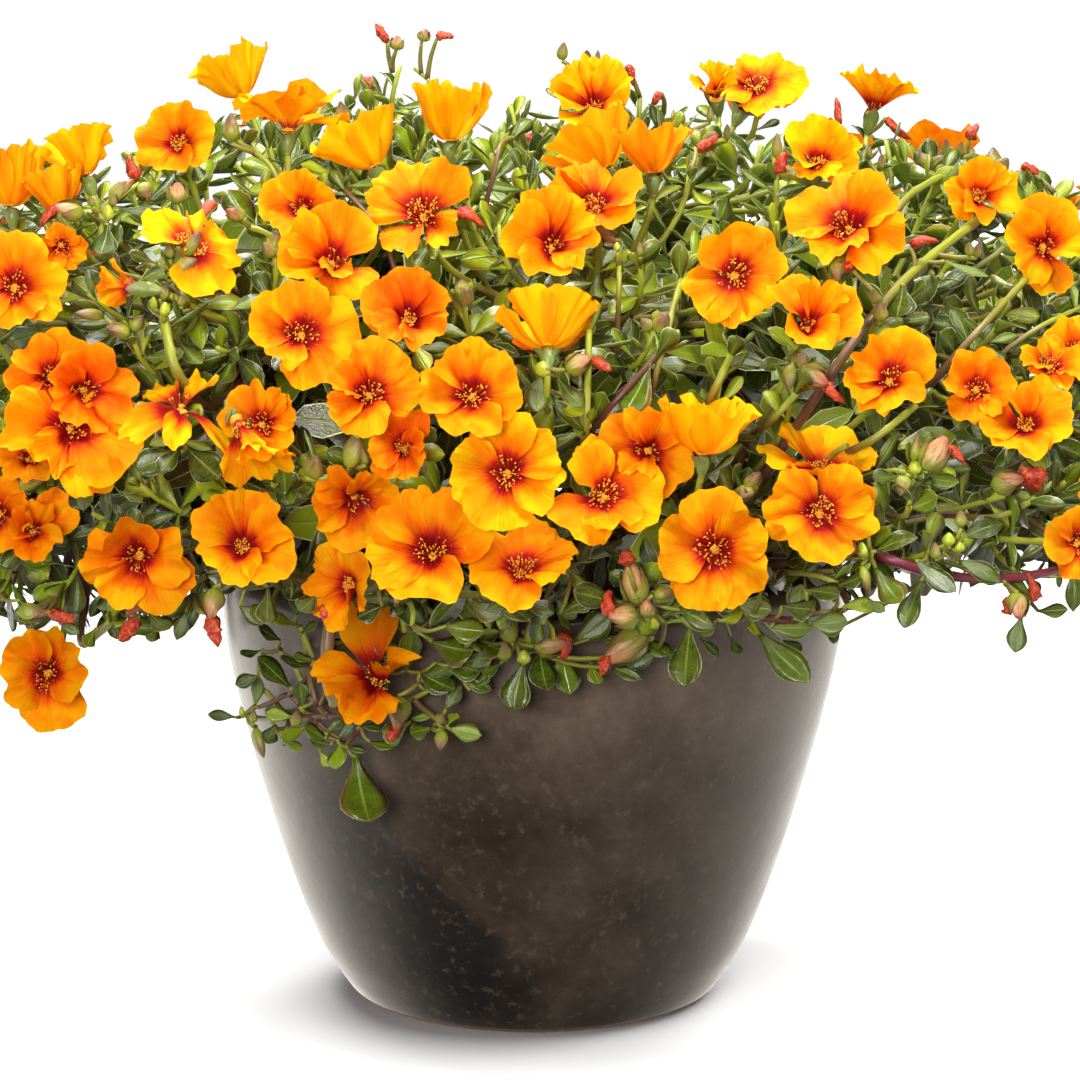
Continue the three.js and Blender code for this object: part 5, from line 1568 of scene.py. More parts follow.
def make_withered(soup, at, axis, length, width, g):
    """Spent petals, twisted together into a crumpled red tip."""
    put = framed(at, axis, g.uniform(0, TAU))
    n, sides = 9, 9
    tt = np.linspace(0, 1, n)
    lean = unit(np.array([g.normal(0, 0.4), g.normal(0, 0.4), 1.0]))
    a = np.arange(sides) / sides * TAU
    r = np.interp(tt, [0, 0.15, 0.45, 0.75, 0.92, 1.0], [0.62, 0.95, 1.0, 0.72, 0.45, 0.05])[:, None] * width / 2
    r = r * (1 + 0.30 * np.cos(3 * a + 5.0 * tt[:, None] + g.uniform(0, TAU)) + g.normal(0, 0.15, (n, sides)))
    co = np.stack([r * np.cos(a), r * np.sin(a), np.zeros((n, sides))], -1)
    spine = tt[:, None] * length * (lean * tt[:, None] + np.array([0, 0, 1.0]) * (1 - tt[:, None]))
    co = co + spine[:, None]
    co[..., 2] += g.normal(0, 0.05, (n, sides)) * width
    faces, corners = grid_faces(n, sides, close=True)
    c = cell_of(6)
    uv = np.stack([c[0] + c[2] * corners[..., 1] / sides, c[1] + c[3] * corners[..., 0] / (n - 1)], -1)
    soup.add(put(co.reshape(-1, 3)), faces, uv, 2)
    soup.more([np.arange(sides)[::-1]], [[[c[0], c[1]]] * sides], 2, back=n * sides)
    soup.more([np.arange(sides) + (n - 1) * sides], [[[c[0], c[1] + c[3]]] * sides], 2, back=n * sides)


def make_seed_head(soup, at, axis, length, g, width=None, topped=True):
    """A seed capsule in its papery calyx, with or without the withered petals still on it."""
    put = framed(at, axis, g.uniform(0, TAU))
    fat = 1.0 if width is None else width / (0.66 * length)
    lobes = g.uniform(0, TAU)

    def shape(r, z, a):
        k = 1 + 0.20 * np.abs(np.cos(a)) ** 4 + 0.07 * np.cos(3 * a + lobes) + 0.04 * np.cos(5 * a + z / length * 5)
        return r * k * fat * (0.90 + 0.10 * np.cos(2 * a)), z + 0.0 * a
    prof = HEAD_PROFILE * length if topped else np.vstack([HEAD_PROFILE[:-1], [[0.10, 0.99], [0.01, 1.03]]]) * length
    cell = cell_of(4 + int(g.integers(0, 2)))
    lathe(soup, prof, 11, 1, cell, v=np.clip(prof[:, 1] / length, 0, 1), shape=shape, place=put)
    for side in (0.0, math.pi):                          # the two sepals that hold it
        S, T_ = np.meshgrid(np.linspace(-1, 1, 5), np.linspace(0, 1, 6))
        spread = np.interp(T_, [0, 0.3, 0.7, 1.0], [0.9, 1.15, 0.70, 0.02])
        ang = side + S * spread
        zz = T_ * length * 0.86
        rr = np.interp(zz / length, HEAD_PROFILE[:, 1], HEAD_PROFILE[:, 0]) * length * fat * 1.22 + 0.25 + 0.9 * T_ ** 3 + 0.25 * np.exp(-(S / 0.25) ** 2)
        faces, corners = grid_faces(6, 5)
        uvs = np.stack([cell[0] + cell[2] * (0.1 + 0.35 * corners[..., 1] / 4 + 0.4 * (side > 0)), cell[1] + cell[3] * corners[..., 0] / 5 * 0.9], -1)
        soup.add(put(np.stack([rr * np.cos(ang), rr * np.sin(ang), zz], -1).reshape(-1, 3)), faces, uvs, 0)
    if topped:
        make_withered(soup, put(np.array([[0, 0, 0.86 * length]]))[0], axis, length * g.uniform(0.40, 0.65), 0.42 * length, g)


for i, tip in enumerate(tips):
    if tip.kind not in ("b", "s", "m"):
        continue
    g = np.random.default_rng(9000 + i)
    soup = bud_soups[tip.mass]
    a = unit(np.cross(tip.axis, [0.31, 0.52, 0.2]))
    b = np.cross(tip.axis, a)
    plan = {"b": "bbb"[: int(g.integers(1, 4))], "s": "sb", "m": "sbbb"[: int(g.integers(3, 5))]}[tip.kind]
    phi0 = g.uniform(0, TAU)
    for k, what in enumerate(plan):
        phi = phi0 + k * TAU / len(plan) + g.normal(0, 0.25)
        tilt = math.radians(g.uniform(18, 58))
        way = unit(tip.axis * math.cos(tilt) + (a * math.cos(phi) + b * math.sin(phi)) * math.sin(tilt))
        at = tip.at + way * 1.2 - tip.axis * 0.6
        if what == "b":
            make_bud(soup, at, way, g.uniform(6.0, 10.5), g)
        else:
            make_seed_head(soup, at, way, g.uniform(9.5, 12.5), g)
    for k in range(4):                                  # pale young bracts between them
        phi = phi0 + k * 1.7
        way = unit(tip.axis * 0.8 + (a * math.cos(phi) + b * math.sin(phi)) * 0.7)
        leaves.add(tip.mass, 0, 2, tip.at, way, tip.axis - way * 0.3, g.uniform(4.5, 7.5), 1.1)

# ------------------------------------------------------------------ parts placed one by one, over the rim and at the mass's edges
# leaves: base x, y, tip x, y and width in the frame, and how old: y young, m mature, d dark, g grey-glossy
LEAVES_SEEN = """
268 587 265 628 22 d|268 588 229 584 10 d|295 625 266 617 14 y|297 615 296 590 18 m|300 633 318 625 9 d|314 661 293 657 11 y|312 667 278 667 17 d
290 687 256 658 22 d|255 706 260 677 14 g|235 717 208 714 11 d|274 726 266 744 16 d|303 707 301 683 17 m|291 717 266 714 14 y|304 728 281 739 15 y
325 739 305 725 17 m|326 732 350 715 15 m|338 739 356 721 12 d|331 745 307 741 12 d|340 745 337 768 19 y|347 748 365 747 12 m|356 757 365 825 42 s
360 726 382 724 13 m|410 722 384 738 24 m|409 720 432 716 9 y|446 709 461 686 17 m|450 729 481 736 20 y|432 728 409 734 17 y|448 725 458 708 10 y
418 683 452 663 19 g|407 670 414 632 22 g|411 631 387 600 20 g|438 608 474 617 25 d|453 650 498 638 23 d|449 665 492 657 23 d|523 663 515 708 29 m
540 652 544 693 26 d|562 654 567 693 29 m|576 640 611 618 28 m|630 604 571 597 24 g|660 618 704 594 27 g|657 651 629 667 21 m|665 623 705 616 13 m
717 620 702 638 13 y|690 627 686 686 29 m|722 620 745 618 18 y|753 620 752 638 13 y|771 627 811 630 22 m|760 634 805 683 33 m|811 624 846 624 26 m
795 618 801 584 23 g|844 606 876 605 15 y|876 568 900 607 24 d|761 589 773 563 20 g|876 551 913 534 22 g|852 559 814 555 13 m|924 477 957 484 17 m
899 477 872 479 14 m|912 508 937 500 24 g|964 536 1001 521 24 g|959 561 1001 576 22 m|916 561 952 595 20 d|921 581 905 627 20 m|1021 618 1013 651 20 m
1038 611 1067 611 18 m|1031 596 1003 572 17 m|1073 569 1079 611 22 m|108 225 106 256 28 g|119 210 165 215 11 d|85 174 63 170 18 g|177 278 217 301 24 g
158 264 129 257 12 d|181 452 138 468 24 m|188 449 220 481 30 d|541 376 534 410 24 g|557 376 578 410 16 d|649 364 631 415 30 d|993 199 972 178 9 m
944 261 987 277 9 g|903 284 903 318 34 d|285 494 285 468 26 m|280 640 255 628 16 d|330 690 345 668 15 m|392 655 372 668 16 d|470 690 490 676 15 g
395 640 380 655 14 m|283 735 300 752 12 m|320 752 328 766 11 y|370 742 392 748 13 m|262 650 240 660 12 d|500 664 484 676 14 m|590 660 596 684 18 m
612 668 640 678 14 g|545 640 520 652 18 d|648 640 668 656 20 m|702 640 720 652 14 m|730 636 738 656 12 d|782 640 800 652 14 m|826 634 838 640 14 m
432 642 474 656 34 d|436 662 478 676 30 d|420 672 452 694 26 d|470 600 504 622 32 d|396 624 428 606 28 m|382 606 358 618 22 d|446 626 482 634 30 g
462 676 492 684 24 m|430 612 460 596 26 m|404 654 376 646 24 g|388 672 366 688 20 d|480 640 506 656 26 d|500 606 530 616 28 g|560 614 592 600 26 d
600 636 636 646 24 d|680 610 712 622 26 m|700 596 738 604 28 d|736 604 770 612 26 m|782 606 818 614 28 d|806 590 838 598 26 m|836 586 866 580 22 d
348 640 326 652 18 d|272 604 250 618 16 d|316 596 300 612 18 m|258 676 236 684 14 d|96 628 84 646 16 m|148 612 170 634 18 d|186 612 178 640 16 m|60 622 78 634 12 g|240 606 262 622 18 m|20 600 34 622 18 d|868 600 884 612 12 m"""
# stems: x, y to x, y and width, with a colour: y yellow-green, o olive or tan, r red-brown, p purple-red
STEMS_SEEN = """
303 633 314 661 7 y|163 312 175 368 12 y|250 227 280 243 7 y|239 142 273 170 6 y|415 69 445 100 5 y|392 71 385 88 4 y|619 255 619 287 6 y
684 271 662 350 8 y|996 206 906 279 11 y|946 174 904 201 9 y|735 347 717 385 9 y|802 387 777 415 8 y|916 405 874 439 9 y|1036 497 1001 516 8 y
998 539 1051 541 8 y|911 489 906 514 7 y|303 479 344 475 8 y|589 330 587 415 8 y|1003 581 1028 601 5 y|1080 308 1038 328 6 y|415 634 436 613 8 o
796 618 847 608 7 o|1026 279 981 328 8 o|112 620 83 644 10 o|500 147 514 138 6 o|260 707 289 695 6 r|289 695 312 674 6 r|329 737 346 745 6 r
346 745 358 730 5 r|748 616 791 621 10 r|344 190 383 236 7 r|664 348 614 403 7 p"""
# spent flowers: t a withered red tip, c a capsule, w a capsule with its red tip, b a bud, k a small green bud; base, tip and width
HEADS_SEEN = """
t 387 41 377 26 9|t 438 37 450 32 9|t 376 87 364 78 9|t 626 67 641 78 10|t 661 94 651 100 9|t 697 149 722 143 11|t 780 172 780 154 12|t 839 124 838 97 7
t 886 119 909 147 9|t 969 139 975 123 11|t 1022 167 1040 167 10|t 911 246 939 229 9|t 138 177 124 163 11|t 57 208 36 218 10|t 216 204 190 212 11
t 458 213 484 213 11|t 592 360 612 368 9|t 827 382 835 408 11|t 944 450 970 444 11|t 1022 480 1042 474 22|t 627 564 626 545 14|t 611 615 604 594 13
t 560 634 578 654 16|t 398 726 386 741 13|t 212 615 215 646 14|t 50 613 78 624 12|t 138 619 116 645 13|t 1031 600 1049 577 13|t 1012 598 1007 624 13
t 326 606 318 622 12|c 396 50 398 36 12|c 422 41 426 30 11|c 83 213 55 207 17|c 110 200 133 180 13|c 140 184 149 197 13|c 243 218 227 210 12
c 594 220 615 243 17|c 566 369 590 357 16|c 802 370 827 384 18|c 924 469 946 438 22|c 993 484 1023 479 20|c 837 524 854 554 19|c 1018 594 1018 618 18
c 535 646 567 643 20|c 638 603 629 563 21|c 638 616 609 616 20|c 398 697 397 730 22|c 213 589 212 618 19|c 18 613 50 613 16|c 149 594 127 614 14
c 16 488 54 465 14|c 837 262 838 282 14|t 846 264 850 274 12|c 646 634 604 662 25|t 609 658 597 669 13|b 562 60 564 42 10|b 587 64 587 50 9|b 597 66 598 50 8
b 184 255 201 231 16|b 176 268 196 260 18|b 170 258 170 242 10|k 108 220 108 210 13|b 92 206 90 196 9|b 112 206 114 194 9|k 165 316 165 303 12
k 154 308 153 297 9|b 165 298 166 285 9|b 181 306 182 294 8|b 103 316 75 313 15|b 231 142 231 113 19|b 344 129 340 101 13|c 177 203 178 187 16
k 617 251 617 244 7|b 640 256 640 242 9|b 677 260 678 242 14|b 777 159 777 133 13|b 727 140 727 124 9|b 710 122 710 106 9|b 854 179 853 153 13
b 881 170 881 154 9|b 869 160 869 145 9|b 946 154 946 139 9|b 961 157 961 141 9|b 1005 190 1014 182 13|b 997 190 997 175 9|b 970 256 969 242 9
b 977 257 978 243 9|b 874 303 874 289 10|b 880 320 880 302 14|b 348 468 360 427 17|b 366 464 362 448 9|k 543 376 543 362 14|b 792 365 789 390 12
b 914 462 918 433 11|k 915 475 915 463 13|b 906 476 900 496 14|b 1043 470 1043 457 9|b 862 566 869 594 13|b 868 536 868 521 9|k 862 557 862 545 12
b 961 527 961 510 11|b 935 559 935 542 12|k 960 552 960 544 9|k 949 546 949 536 11|b 511 643 503 609 16|b 528 644 530 620 11|b 505 660 505 642 13
k 524 664 524 652 12|c 646 616 647 600 13|b 654 595 675 591 14|k 654 628 654 618 9|c 647 642 647 630 10|b 255 728 264 758 14|b 296 726 297 710 11
b 438 722 443 714 10|b 442 730 440 751 11|k 242 716 241 706 8|b 253 722 254 710 9"""


def place_seen(x, y, off):
    """Over the rim on the pot, elsewhere on the mass."""
    if 225 < x < 850 and y > 606 + 22 * (x > 440):
        return on_pot(x, y, 7 + off)
    return on_mound(x, y, off)


detail_rng = np.random.default_rng(611)
shoots = []                           # base, which way it leaves, and how thick its stalk is
YOUNG_ONES, MATURE_ONES, DARK_ONES, GREY_ONES = (1, 2, 11, 0), (3, 10, 4, 7), (5, 9, 8), (6, 4, 8)
explicit_leaves = 0
for row in LEAVES_SEEN.replace("\n", "|").split("|"):
    if not row.strip():
        continue
    bx, by, tx, ty, wide, age = row.split()
    bx, by, tx, ty, wide = (float(q) for q in (bx, by, tx, ty, wide))
    off = 4.0 + detail_rng.uniform(0, 5)
    base = place_seen(bx, by, off)
    end = EYE + ray(tx, ty) * (np.linalg.norm(base - EYE) - detail_rng.uniform(-2.0, 7.0))
    if base[2] < 172:                                 # tips over the pot stay clear of it
        flat = math.hypot(end[0], end[1])
        need = float(pot_radius(np.clip(end[2], 0, 178))) + 5.0
        if flat < need:
            end = end * [need / flat, need / flat, 1]
    along = end - base
    length = float(np.linalg.norm(along))
    toward = unit(-FWD + UP * detail_rng.uniform(0.1, 0.9) + RIGHT * detail_rng.normal(0, 0.35))
    kind = {"y": YOUNG_ONES, "m": MATURE_ONES, "d": DARK_ONES, "g": GREY_ONES, "s": (5,)}[age]
    kind = int(kind[int(detail_rng.integers(0, len(kind)))])
    mass = 17 if (by > 612 and bx < 480 and bx > 230) else nearest_mass(base)
    leaves.add(mass, kind, 0, base, along, toward, length * 1.04, wide * 0.4 / (length * 0.47) * 1.05)
    explicit_leaves += 1
    shoots.append((base, mass, 0.85))

head_tones = {"t": 2, "c": 1, "b": 0, "k": 3}
for row in HEADS_SEEN.replace("\n", "|").split("|"):
    if not row.strip():
        continue
    what, *numbers = row.split()
    bx, by, tx, ty, wide = (float(q) for q in numbers)
    off = 9.0 + detail_rng.uniform(0, 4)
    base = place_seen(bx, by, off)
    end = EYE + ray(tx, ty) * (np.linalg.norm(base - EYE) - detail_rng.uniform(0.0, 5.0))
    if base[2] < 172:
        flat = math.hypot(end[0], end[1])
        need = float(pot_radius(np.clip(end[2], 0, 178))) + 7.0
        if flat < need:
            end = end * [need / flat, need / flat, 1]
    length = max(float(np.linalg.norm(end - base)), wide * 0.4 * 1.15)
    mass = 17 if (by > 612 and bx < 480 and bx > 230) else nearest_mass(base)
    soup, axis = bud_soups[mass], unit(end - base)
    if what == "t":
        make_withered(soup, base, axis, length, wide * 0.4, detail_rng)
    elif what == "c":
        make_seed_head(soup, base, axis, length, detail_rng, wide * 0.4, topped=False)
    else:
        make_bud(soup, base, axis, length, detail_rng, head_tones[what], wide * 0.4 / (0.76 * length))
    shoots.append((base - axis * 0.4, mass, 1.0))

# stems seen between the leaves; their lower end runs on into the mass
STEM_TONES = {"y": (0.66, 1.0), "o": (0.40, 0.75), "r": (0.02, 0.30), "p": (0.0, 0.08)}
grown = []
for tip in tips:
    if tip.kind != "inner":
        grown.extend((q, tip.mass) for q in tip.path[3:])
grown.extend((q, 17) for q in hang_curve[int(len(hang_curve) * 0.62):])
for row in STEMS_SEEN.replace("\n", "|").split("|"):
    if not row.strip():
        continue
    x0, y0, x1, y1, wide, tone = row.split()
    x0, y0, x1, y1, wide = (float(q) for q in (x0, y0, x1, y1, wide))
    a, b = place_seen(x0, y0, 5.0), place_seen(x1, y1, 3.0)
    over = 225 < x1 < 850 and y1 > 606 and y0 > 606
    if over:
        near = np.array([q for q, _ in grown])
        j = int(np.argmin(np.linalg.norm(near - b, axis=1)))
        path = catmull([a, (a + b) / 2, b, near[j]], 14)
        mass = grown[j][1]
    else:
        if b[2] > a[2] + 3 or y0 > y1 + 6:
            a, b = b, a
        n = mound_normal(b)
        turn_in = b + (b - a) * 0.30 - n * 9
        inner_end = b + (b - a) * 0.55 - n * 26
        mass = nearest_mass(inner_end)
        stem = stem_curves[mass][int(len(stem_curves[mass]) * 0.4):]
        far_end = stem[int(np.argmin(np.linalg.norm(stem - inner_end, axis=1)))]
        path = catmull([a, (a + b) / 2 + n * 1.2, b, turn_in, inner_end, far_end], 25)
    if wide >= 6 and not over:
        up = unit(a - b)
        e1 = unit(np.cross(up, [0.2, 0.9, 0.4]))
        e2 = np.cross(up, e1)
        for k in range(5):
            phi, beta = k * 2.4 + detail_rng.uniform(0, 0.8), math.radians(26 + 13 * k)
            out = e1 * math.cos(phi) + e2 * math.sin(phi)
            kind = int(detail_rng.choice(YOUNG_KINDS if k < 3 else MATURE_KINDS))
            leaves.add(nearest_mass(a), kind, 1, a - up * 1.6 * k, up * math.cos(beta) + out * math.sin(beta), up * math.sin(beta) - out * math.cos(beta), 8.5 + 2.4 * k, 1.05)
    low, high = STEM_TONES[tone]
    fade = np.interp(np.linspace(0, 1, len(path)), [0, 0.42, 0.62, 1], [high, low, low * 0.35, 0])
    tube(twig_soups[mass], path, np.linspace(wide * 0.15, wide * 0.165, len(path)), 8, 0, WHOLE, v_of=fade, knots=knobbly(0.3, 6))
    grown.extend((q, mass) for q in path)

# every part above joins the nearest twig, stem or neighbour with its own short stalk
near = np.array([q for q, _ in grown])
near_mass = [m for _, m in grown]
left = list(range(len(shoots)))
where = np.array([b for b, _, _ in shoots])
best = np.array([np.linalg.norm(near - q, axis=1).min() for q in where])
link = np.array([int(np.argmin(np.linalg.norm(near - q, axis=1))) for q in where])
while left:
    i = min(left, key=lambda k: best[k])
    left.remove(i)
    p, mass, thick = shoots[i]
    q = near[link[i]]
    gap = float(np.linalg.norm(p - q))
    if gap > 0.8:
        out = unit(p - MIDDLE) if p[2] > 178 else unit(np.array([p[0], p[1], 0.0]))
        mid = (p + q) / 2 + out * min(2.0, gap * 0.12) - np.array([0, 0, min(3.0, gap * 0.08)])
        path = catmull([q - out * 0.5, mid, p], 6)
        z = np.clip(path[:, 2], 0, 178)
        flat = np.hypot(path[:, 0], path[:, 1])
        need = pot_radius(z) + 2.6
        low = (path[:, 2] < 182) & (flat < need) & (flat > 100)
        path[low, :2] *= (need[low] / flat[low])[:, None]
        tube(twig_soups[mass], path, np.linspace(thick * min(1.3, 1 + gap / 80), thick * 0.8, len(path)), 6, 0, WHOLE, v_of=np.linspace(0.30, 0.80, len(path)))
        fresh = path
    else:
        fresh = p[None]
    if mass != 17:
        continue
    near = np.vstack([near, fresh])
    for k in left:
        if shoots[k][1] != 17:
            continue
        d = np.linalg.norm(fresh - where[k], axis=1)
        if d.min() < best[k]:
            best[k] = d.min()
            link[k] = len(near) - len(fresh) + int(np.argmin(d))

# ------------------------------------------------------------------ leaves that would hide a flower, cut the pot or leave the box are left off
base = np.array([it[3] for it in leaves.items])
turn = np.array([it[4] for it in leaves.items])
keep = np.ones(len(base), bool)
for part in (0.35, 0.7, 1.0):
    p = base + turn[:, 1] * part
    d = p[:, None] - F_EYE[None]
    h = np.einsum("ijk,jk->ij", d, F_DIR)
    rho = np.sqrt(np.maximum((d ** 2).sum(-1) - h ** 2, 0))
    inside = (h > -1.0) & (h < np.maximum(F_HIGH, 6) + 10) & (rho < F_R * 0.98)
    keep &= ~inside.any(1)
    # in front of a flower, as the picture is taken
    x, y, z = project(p)
    near = np.hypot(x[:, None] - F_X, y[:, None] - F_Y) < (F_R / F_Z * FOCAL)[None] * 0.86
    front = z[:, None] < F_Z[None] - 2
    seen = np.array([f.seen is not None for f in flowers])
    keep &= ~(near & front & seen[None]).any(1)
    flat = np.hypot(p[:, 0], p[:, 1])
    keep &= ~((p[:, 2] < 179) & (flat < pot_radius(np.clip(p[:, 2], 0, 178)) + 0.5) & (flat > 60))
    keep &= (np.abs(p[:, 0]) < 300) & (p[:, 1] > -264) & (p[:, 1] < 268) & (p[:, 2] < 392)
    keep &= ~outside_outline(p, 4.0)
placed_one_by_one = np.array([it[2] == 0 for it in leaves.items])
keep |= placed_one_by_one
items = [it for it, k in zip(leaves.items, keep) if k]

made_leaves = 0
for mass in range(TWIG_MASSES):
    soup = Soup()
    for detail, templates in enumerate((FINE, PLAIN, ROUGH)):
        for kind in range(16):
            mine = [it for it in items if it[0] == mass and it[1] == kind and it[2] == detail]
            if not mine:
                continue
            co, faces, uvs, ends, end_uv = templates[kind]
            turns = np.array([it[4] for it in mine])
            at = np.array([it[3] for it in mine])
            every = np.einsum("vk,nkj->nvj", co, turns) + at[:, None]
            shift = (np.arange(len(mine)) * len(co))[:, None, None]
            soup.add(every.reshape(-1, 3), (faces[0][None] + shift).reshape(-1, 4), np.tile(uvs[0], (len(mine), 1, 1)))
            back = len(mine) * len(co)
            for f, u in zip(faces[1:], uvs[1:]):
                soup.more((f[None] + shift).reshape(-1, 4), np.tile(u, (len(mine), 1, 1)), back=back)
            for e in ends:
                e = np.array(e)
                soup.more((e[None] + shift[:, 0]).reshape(-1, len(e)), np.tile(end_uv, (len(mine), len(e), 1)), back=back)
            made_leaves += len(mine)
    name = f"leaves_{mass + 1:02d}"
    ob = soup.build(name, [LEAF])
    node = "trailing_shoot" if mass == 17 else f"leafy_shoots_{mass + 1:02d}"
    piece(ob, "leaf", node)
    print("leaves", name, soup.triangles())
    if twig_soups[mass].n:
        piece(twig_soups[mass].build(f"twigs_{mass + 1:02d}", [TWIGS]), "stem")
    if bud_soups[mass].n:
        piece(bud_soups[mass].build(f"buds_{mass + 1:02d}", [BUDS, SEED_HEADS, SHRIVELLED, KNOBS]), "leaf")

# one old stem, purple-red, that runs out level below the leaves at the right
soup = Soup()
old = [np.array([96.0, -70.0, 215.0])] + [on_mound(x, y, off) for x, y, off in ((860, 548, -14), (894, 561, 2), (939, 574, 3), (998, 579, 3), (1053, 571, 3), (1084, 560, -2))]
path = catmull(old, 48)
tube(soup, path, np.linspace(2.2, 1.4, len(path)), 9, knots=knobbly(0.1, 9))
piece(soup.build("old_red_stem", [RED_STEM]), "stem")

# ------------------------------------------------------------------ flowers: made
total_flower = 0
for i, f in enumerate(flowers):
    soup, put = make_flower(i, f)
    level = int(np.argmin([abs(h - f.hue) for h in HUES]))
    # the stalk bends from the calyx back onto its twig
    tip = tips[i]
    back = f.eye - f.facing * 8.5
    path = np.array([f.eye - f.facing * 9.4, f.eye - f.facing * 8.2])
    tube(soup, path, [1.35, 1.35], 6, 4, STALK)
    ob = soup.build(f"bloom_{i + 1:03d}", [PETALS[level], FILAMENTS, ANTHERS, CALYXES, FLOWER_STALKS])
    piece(ob, "petal", *([f.node] if f.node else []))
    total_flower += soup.triangles()
print("flowers", len(flowers), total_flower, "leaves", made_leaves, "tips", len(tips), "outer", n_outer)

# ------------------------------------------------------------------ floor, light and camera
def mesh_object(name, verts, faces):
    me = bpy.data.meshes.new(name)
    me.from_pydata(verts, [], faces)
    ob = bpy.data.objects.new(name, me)
    bpy.context.scene.collection.objects.link(ob)
    return ob


n = 96
circle = [(2.2 * math.cos(k / n * TAU), 2.2 * math.sin(k / n * TAU), 0.0) for k in range(n)]
floor = mesh_object("floor", circle, [list(range(n))])
floor.data.materials.append(floor_material())
# the white ground is lit up to white by lamps of its own, so it is kept out of the reflections and bounces
floor.visible_diffuse = False
floor.visible_glossy = False


def area(name, at, aim, size, watts, colour=(1, 1, 1), size_y=None):
    lamp = bpy.data.lights.new(name, "AREA")
    lamp.shape = "RECTANGLE"
    lamp.size, lamp.size_y = size, size_y or size
    lamp.energy = watts
    lamp.color = colour
    ob = bpy.data.objects.new(name, lamp)
    ob.location = at
    ob.rotation_euler = (Vector(aim) - Vector(at)).to_track_quat("-Z", "Y").to_euler()
    bpy.context.scene.collection.objects.link(ob)
    return ob


KEY = area("key", (0.75, -0.85, 2.0), (0.0, 0.0, 0.25), 0.72, 57.0, (1.0, 0.985, 0.95))
TOP = area("top", (-0.45, 0.50, 1.8), (0.0, 0.0, 0.25), 0.95, 54.0)
FRONT = area("front", (-0.45, -2.1, 0.75), (0.0, 0.0, 0.17), 0.75, 46.0)
not_ground = bpy.data.collections.new("not_ground")
not_ground.objects.link(floor)
not_ground.collection_objects[0].light_linking.link_state = "EXCLUDE"
for lamp in (KEY, TOP, FRONT):
    lamp.light_linking.receiver_collection = not_ground

lit = bpy.data.collections.new("ground")
lit.objects.link(floor)
blocks = bpy.data.collections.new("ground_shade")
blocks.objects.link(pot)
for k, (azimuth, height, size, watts) in enumerate([(137, 65, 1.0, 51.0), (345, 65, 1.0, 26.0), (198, 75, 0.7, 25.0), (313, 68, 1.0, 27.0), (15, 45, 1.0, 20.0),
                                                  (63, 15, 1.4, 105.0), (300, 65, 1.0, 12.0), (255, 15, 1.4, 36.0), (270, 75, 0.7, 5.0)]):
    az, el = math.radians(azimuth), math.radians(height)
    at = (3.0 * math.cos(el) * math.cos(az), 3.0 * math.cos(el) * math.sin(az), 3.0 * math.sin(el))
    lamp = area(f"ground_{k + 1}", at, (0, 0, 0), size, watts)
    lamp.light_linking.receiver_collection = lit
    lamp.light_linking.blocker_collection = blocks
    lamp.visible_glossy = False

world = bpy.data.worlds.new("studio")
bpy.context.scene.world = world
world.use_nodes = True
nt = world.node_tree
nt.nodes.clear()


def wnode(kind, **props):
    n = nt.nodes.new(kind)
    for k, v in props.items():
        setattr(n, k, v)
    return n


def wmath(op, a, b=None):
    n = wnode("ShaderNodeMath", operation=op)
    for socket, value in zip(n.inputs, (a, b)):
        if value is None:
            continue
        if hasattr(value, "is_output"):
            nt.links.new(value, socket)
        else:
            socket.default_value = value
    return n.outputs[0]


# the studio: bright walls at both sides and behind, dark towards the front, an even ceiling
split = wnode("ShaderNodeSeparateXYZ")
nt.links.new(wnode("ShaderNodeTexCoord").outputs["Generated"], split.inputs[0])
turn = wmath("ARCTAN2", split.outputs[0], wmath("MULTIPLY", split.outputs[1], -1.0))
turn = wmath("ADD", wmath("DIVIDE", turn, TAU), 0.5)
ROOM = [(-180, 1.6), (-130, 2.5), (-105, 2.1), (-85, 1.5), (-68, 0.6), (-50, 0.16), (0, 0.14), (20, 0.34), (50, 0.9), (97, 1.8), (118, 1.85), (148, 1.7), (180, 1.6)]
ramp = wnode("ShaderNodeValToRGB")
while len(ramp.color_ramp.elements) < len(ROOM):
    ramp.color_ramp.elements.new(0.5)
for e, (deg, level) in zip(ramp.color_ramp.elements, ROOM):
    e.position = deg / 360 + 0.5
    e.color = (level / 4, level / 4 * 0.955, level / 4 * 0.865, 1.0)
nt.links.new(turn, ramp.inputs[0])
walls = wnode("ShaderNodeBackground")
nt.links.new(ramp.outputs["Color"], walls.inputs["Color"])
steep = wnode("ShaderNodeMapRange")
nt.links.new(split.outputs[2], steep.inputs["Value"])
for key, value in (("From Min", -0.92), ("From Max", -0.44), ("To Min", 0.12), ("To Max", 1.12)):
    steep.inputs[key].default_value = value
path_kind = wnode("ShaderNodeLightPath")
soft = wmath("SUBTRACT", 1.0, wmath("MULTIPLY", path_kind.outputs["Is Diffuse Ray"], 0.66))
gap = None
for middle, half in ((0.078, 0.015), (0.864, 0.008)):          # narrow dark gaps between the walls, level with the rim
    edge = wnode("ShaderNodeMapRange", interpolation_type="SMOOTHSTEP")
    nt.links.new(wmath("ABSOLUTE", wmath("SUBTRACT", turn, middle)), edge.inputs["Value"])
    for key, value in (("From Min", half * 0.5), ("From Max", half * 1.2), ("To Min", 1.0), ("To Max", 0.0)):
        edge.inputs[key].default_value = value
    gap = edge.outputs["Result"] if gap is None else wmath("MAXIMUM", gap, edge.outputs["Result"])
level = wnode("ShaderNodeMapRange", interpolation_type="SMOOTHSTEP")
nt.links.new(split.outputs[2], level.inputs["Value"])
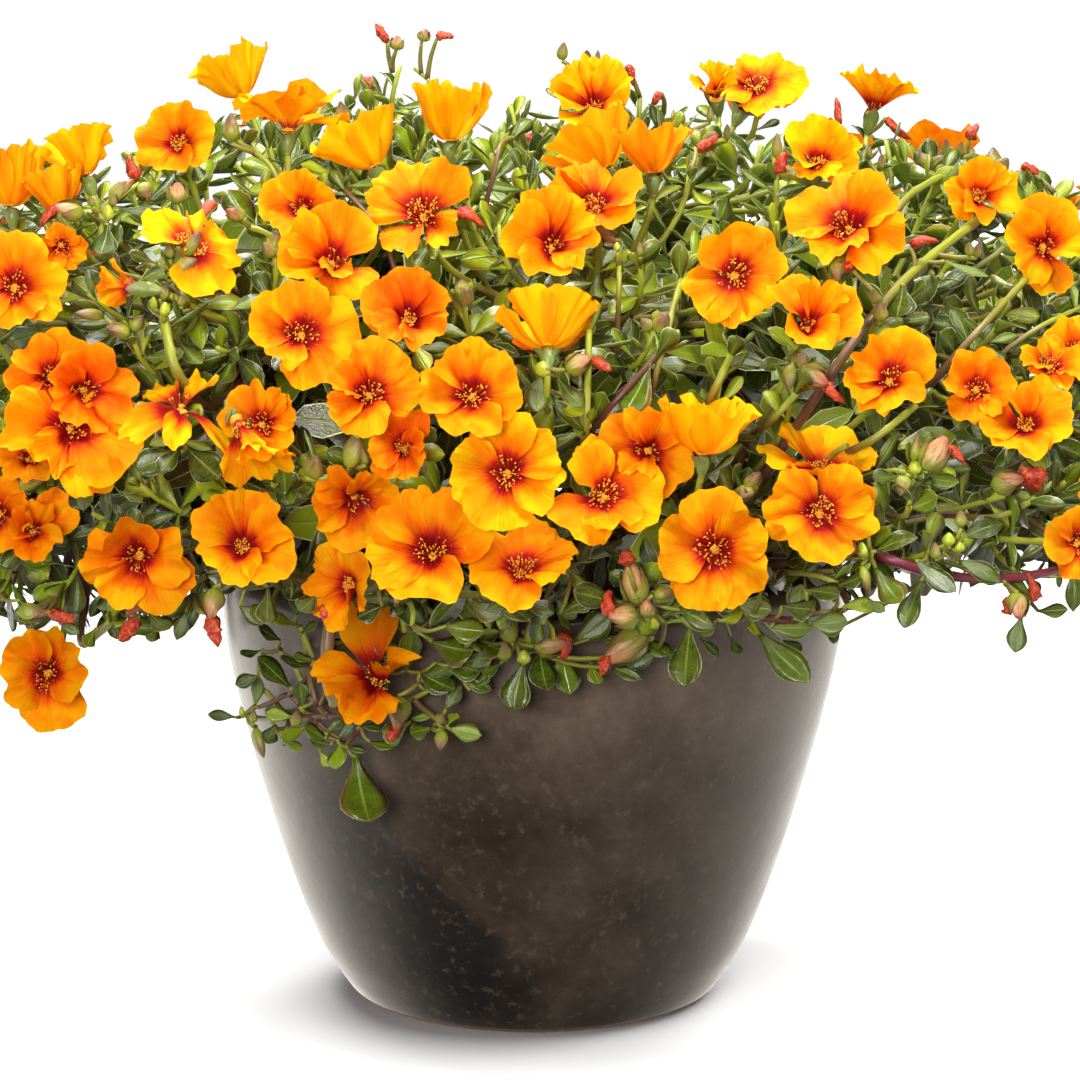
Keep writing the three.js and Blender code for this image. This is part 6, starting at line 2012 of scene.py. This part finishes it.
level.inputs["From Min"].default_value, level.inputs["From Max"].default_value = -0.290, -0.262
open_part = wmath("SUBTRACT", 1.0, wmath("MULTIPLY", wmath("MULTIPLY", gap, level.outputs["Result"]), 0.93))
nt.links.new(wmath("MULTIPLY", wmath("MULTIPLY", wmath("MULTIPLY", steep.outputs["Result"], soft), open_part), 4.0), walls.inputs["Strength"])
ceiling = wnode("ShaderNodeBackground")
ceiling.inputs["Color"].default_value = (1.0, 1.0, 1.0, 1.0)
ceiling.inputs["Strength"].default_value = 0.11
rise = wnode("ShaderNodeMapRange", interpolation_type="SMOOTHSTEP")
nt.links.new(split.outputs[2], rise.inputs["Value"])
rise.inputs["From Min"].default_value, rise.inputs["From Max"].default_value = -0.08, 0.16
room = wnode("ShaderNodeMixShader")
nt.links.new(rise.outputs["Result"], room.inputs[0])
nt.links.new(walls.outputs[0], room.inputs[1])
nt.links.new(ceiling.outputs[0], room.inputs[2])
seen_bg = wnode("ShaderNodeBackground")
seen_bg.inputs["Color"].default_value = (1.0, 1.0, 1.0, 1.0)
seen_bg.inputs["Strength"].default_value = 1.05
mixer = wnode("ShaderNodeMixShader")
nt.links.new(wnode("ShaderNodeLightPath").outputs["Is Camera Ray"], mixer.inputs[0])
nt.links.new(room.outputs[0], mixer.inputs[1])
nt.links.new(seen_bg.outputs[0], mixer.inputs[2])
nt.links.new(mixer.outputs[0], wnode("ShaderNodeOutputWorld").inputs["Surface"])

camera_data = bpy.data.cameras.new("camera")
camera_data.sensor_width = 36.0
camera_data.lens = 36.0 * FOCAL / 1080
camera_data.clip_start, camera_data.clip_end = 0.05, 60
camera = bpy.data.objects.new("camera", camera_data)
camera.location = Vector(EYE * MM)
camera.rotation_euler = Vector(FWD).to_track_quat("-Z", "Y").to_euler()
bpy.context.scene.collection.objects.link(camera)
bpy.context.scene.camera = camera
scene = bpy.context.scene
scene.view_settings.view_transform = "Standard"
scene.view_settings.look = "None"

total = sum(sum(len(p.vertices) - 2 for p in ob.data.polygons) for ob in pieces)
print("pieces", len(pieces), "triangles", total)
